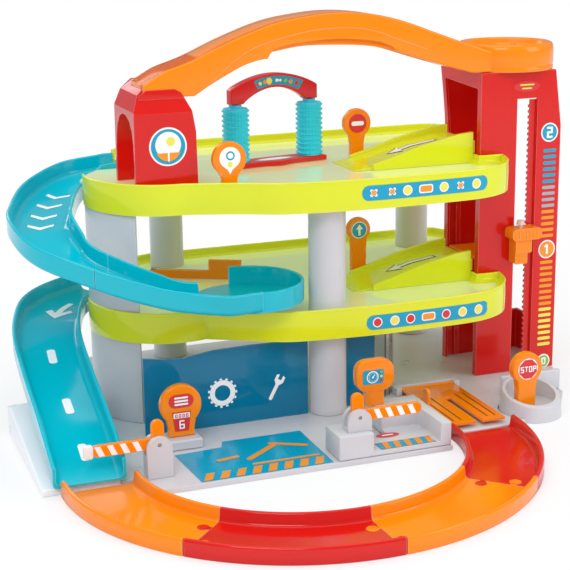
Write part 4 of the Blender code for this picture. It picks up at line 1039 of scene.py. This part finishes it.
for name, ink, depth, shapes in (
    ("washBand", "teal", 0.3, [roundedBox((0.24, 0.85), (0.2, 0.82), 0.02, 3)]),
    ("washYellow", "yellow", 0.5, bandOvals((0.42, 4.2), (0.3, 2.2))),
    ("washGreen", "green", 0.5, bandOvals((0.64, 2.4))),
    ("washOrange", "orange", 0.5, bandOvals((0.36, 2.4), (0.71, 2.6))),
    ("washRed", "red", 0.5, bandOvals((0.79, 2.8), (0.265, 1.6))),
    ("washWhite", "white", 0.5, bandOvals((0.52, 2.0), (0.57, 1.7), (0.545, 1.3))),
):
    printed(name, ink, archBand(depth), shapes, spacing=0.04)
printed("washOval", "grey", flatTop(-8.5, 153, 287.55), [turnFlat(oval(27, 9), 10)], upOf)
printed("washOvalInner", "white", flatTop(-8.5, 153, 287.75), [turnFlat(oval(23, 6.6), 10)], upOf)

# Hood roundel: rings and a plain road in place of any picture
collar = [(-206.8, 383.5), (-152.5, 383.5), (-156.5, 390.5), (-164, 394.5), (-198, 394.5), (-206.8, 388)]
placed("hoodCollar", softPlate(collar, 46.4, 47.9, 0.7, "XZ", 3), "redMoulding", weld=0)
for name, ink, step, shapes in (
    ("hoodOuter", "white", 1, [discLine((0, 0), 22, 48)]),
    ("hoodBlue", "teal", 2, [discLine((0, 0), 20, 48)]),
    ("hoodLight", "white", 3, [discLine((0, 2), 15, 40)]),
    ("hoodHills", "orange", 4, [arcLine((0, -2), 14.5, 200, 340, 24)]),
    ("hoodSun", "yellow", 4, [discLine((3, 6), 5)]),
    ("hoodDashes", "white", 5, [barLine(6, 2, 90, (0, z)) for z in (-14, -9)]),
):
    printed(name, ink, flatFront(-176.5, 38 - 0.3 * step, 331.5), shapes)


# Tower scale: three numbers and the bars between them
def towerFace(x, z, step):
    return flatFront(x, 46 - 0.3 * step, z)


signShapes = {
    "2": digitShapes("2", 5.6, 11.4, 2.8), "0": digitShapes("0", 4.2, 7.4, 2.2),
    "1": [barLine(13, 3, 90), barLine(5, 2.6, 40, (-1.8, 4.6))],
}
for sign, ink, x, z, r in (
    ("2", "teal", 318.2, 314, 12), ("1", "orange", 319.6, 164, 12), ("0", "green", 320, 14.5, 9.5),
):
    printed("scaleRim" + sign, "white", towerFace(x, z, 1), [discLine((0, 0), r, 40)])
    printed("scaleDisc" + sign, ink, towerFace(x, z, 2), [discLine((0, 0), r - 1.8, 40)])
    printed("scaleSign" + sign, "white", towerFace(x, z, 3), signShapes[sign])
for name, ink, x, top, count in (
    ("Tealink", "teal", 319.2, 291, 6), ("Greyink", "grey", 319.2, 244.2, 4),
    ("Orangeink", "orange", 319.2, 213, 5), ("Orangeink2", "orange", 319.6, 147, 8),
    ("Yellowink", "yellow", 319.6, 84.6, 7),
):
    bars = [barLine(18.5, 4.2, 0, (0, -index * 7.8)) for index in range(count)]
    printed("scaleBars" + name, ink, towerFace(x, top, 1), bars)
printed("towerOval", "red", towerFace(284.4, 372.8, 1), [oval(18, 6.6)])
ovalBars = [barLine(20, 1.8, 0, (0, 2.2)), barLine(14, 1.8, 0, (0, -2.2))]
printed("towerOvalBars", "yellow", towerFace(284.4, 372.8, 2), ovalBars)
print("stage: strips, wash, hood and tower prints")


# Slides: white dashes, an arrow and chevrons laid on the channel's floor
def slideMap(line, spot):
    # u across to the right of the way down, v down the slide from the spot
    length = lengths(line)
    start = length[int(np.argmin(np.linalg.norm(line[:, :2] - np.array(spot), axis=1)))]
    rise = slides["floor"] - slides["height"] + 0.35

    def mapping(u, v):
        place, further = (
            np.stack([np.interp(start + v + step, length, line[:, axis]) for axis in range(3)], axis=1)
            for step in (0, 1)
        )
        ahead = (further - place)[:, :2]
        ahead /= np.linalg.norm(ahead, axis=1)[:, None]
        flat = place[:, :2] + u[:, None] * np.column_stack([ahead[:, 1], -ahead[:, 0]])
        return np.column_stack([flat, place[:, 2] + rise])
    return mapping


arrow = np.array([(-3, -24), (3, -24), (3, 2), (9, -5), (13, 0), (0, 16), (-13, 0), (-9, -5), (-3, 2)])
chevron = np.array([(-15, -11), (0, 0), (15, -11), (15, -3.5), (0, 8.5), (-15, -3.5)])
lowerSpots = ((-318, 69), (-318, -13), (-318, -83))
upperSpots = ((-277, 195), (-294, 160), (-306, 125), (-316, 90))
for name, line, spots, shape in (
    ("slideDash", lowerLine, lowerSpots, roundedBox((-7.8, 1.8), (-13, 13), 3.4)),
    ("slideChevron", upperLine, upperSpots, chevron),
    ("slideBar", upperLine, ((-252, -14), (-222, -24)), roundedBox((-9, 9), (-2.4, 2.4), 2)),
):
    for index, spot in enumerate(spots):
        printed(f"{name}{index}", "white", slideMap(line, spot), [shape], upOf)
printed("slideArrow", "white", slideMap(lowerLine, (-290, 168)), [arrow * 1.35 - np.array([4, 0])], upOf)

# Ramps: an outlined arrow down each
rampLine = np.array([(60, 0.8), (84, 3), (110, 9), (150, 20), (196, 26.7), (221, 27)])
rampArrow = np.array([(138, 107), (135, 99.5), (184, 99.5), (184, 92.5), (135, 92.5), (138, 85),
                      (120, 96)])
rampEdge = rampArrow + np.sign(rampArrow - rampArrow.mean(0)) * 2


def rampMap(index, lift):
    base = deckTop + index * storey + (0.3 + lift)
    return lambda u, v: np.column_stack([u, v, np.interp(u, rampLine[:, 0], rampLine[:, 1]) + base])


for index in range(2):
    printed(f"rampEdge{index}", "dark", rampMap(index, 0.25), [rampEdge], upOf)
    printed(f"rampArrow{index}", "white", rampMap(index, 0.45), [rampArrow], upOf)

# Base prints: a teal sheet with orange hazard stripes, and the same on the kerb
baseSheet = [(-206, -157), (-56, -157), (-56, -52), (-150, -52), (-156, -68), (-212, -72)]
baseStripe = np.array([(0, -155), (9.5, -155), (18, -136), (8.5, -136)])
hazard = [baseStripe + np.array([x, 0]) for x in range(-203, -76, 18)]
hazard += [roundedBox((-140, -62), (-132, -127), 2), barLine(58, 7, 38, (-118, -98)),
           barLine(46, 7, -28, (-84, -88)), barLine(28, 7, 10, (-160, -104))]
kerbStripe = np.array([(0, -156.6), (6.5, -156.6), (9.5, -137.4), (3, -137.4)])
kerbStripes = [kerbStripe + np.array([x, 0]) for x in range(6, 60, 13)]
for name, ink, spot, spacing, shapes in (
    ("baseSheet", "teal", (0, 0, 6.2), 12, [baseSheet]),
    ("baseHazard", "orange", (0, 0, 6.4), 12, hazard),
    ("kerbSheet", "teal", (0, 0, 12.2), 3, [[(0, -157), (68, -157), (62, -137), (0, -137)]]),
    ("kerbStripes", "orange", (0, 0, 12.4), 3, kerbStripes),
    ("kerbOval", "red", (25, -118, 12.2), 3, [oval(14, 7, 40)]),
    ("kerbOvalBar", "white", (25, -118, 12.4), 3, [barLine(14, 3)]),
):
    printed(name, ink, flatTop(*spot), shapes, upOf, spacing=spacing)

# Workshop screen: a toothed tyre and a spanner in white
toothSpots = zip(range(0, 360, 24), discLine((0, 0), 16.75, 15))
teeth = [barLine(2.2, 3.0, turn, spot, 0.5) for turn, spot in toothSpots]
half = np.array([(2.2, 4), (5.8, 8), (5.8, 15), (2.4, 16.5), (2.2, 10.5)])
spanner = np.vstack([[(-2.2, -15), (0, -16.5), (2.2, -15)], half, half[::-1] * np.array([-1, 1])])
printed("tyreMark", "white", flatFront(-132.5, -2.3, 46), ringShapes((0, 0), 15.5, 9.5) + teeth)
printed("spannerMark", "white", flatFront(-67, -2.3, 44), [turnFlat(spanner, -28)])
print("stage: slide, ramp, base and screen prints")


print("stage: done")
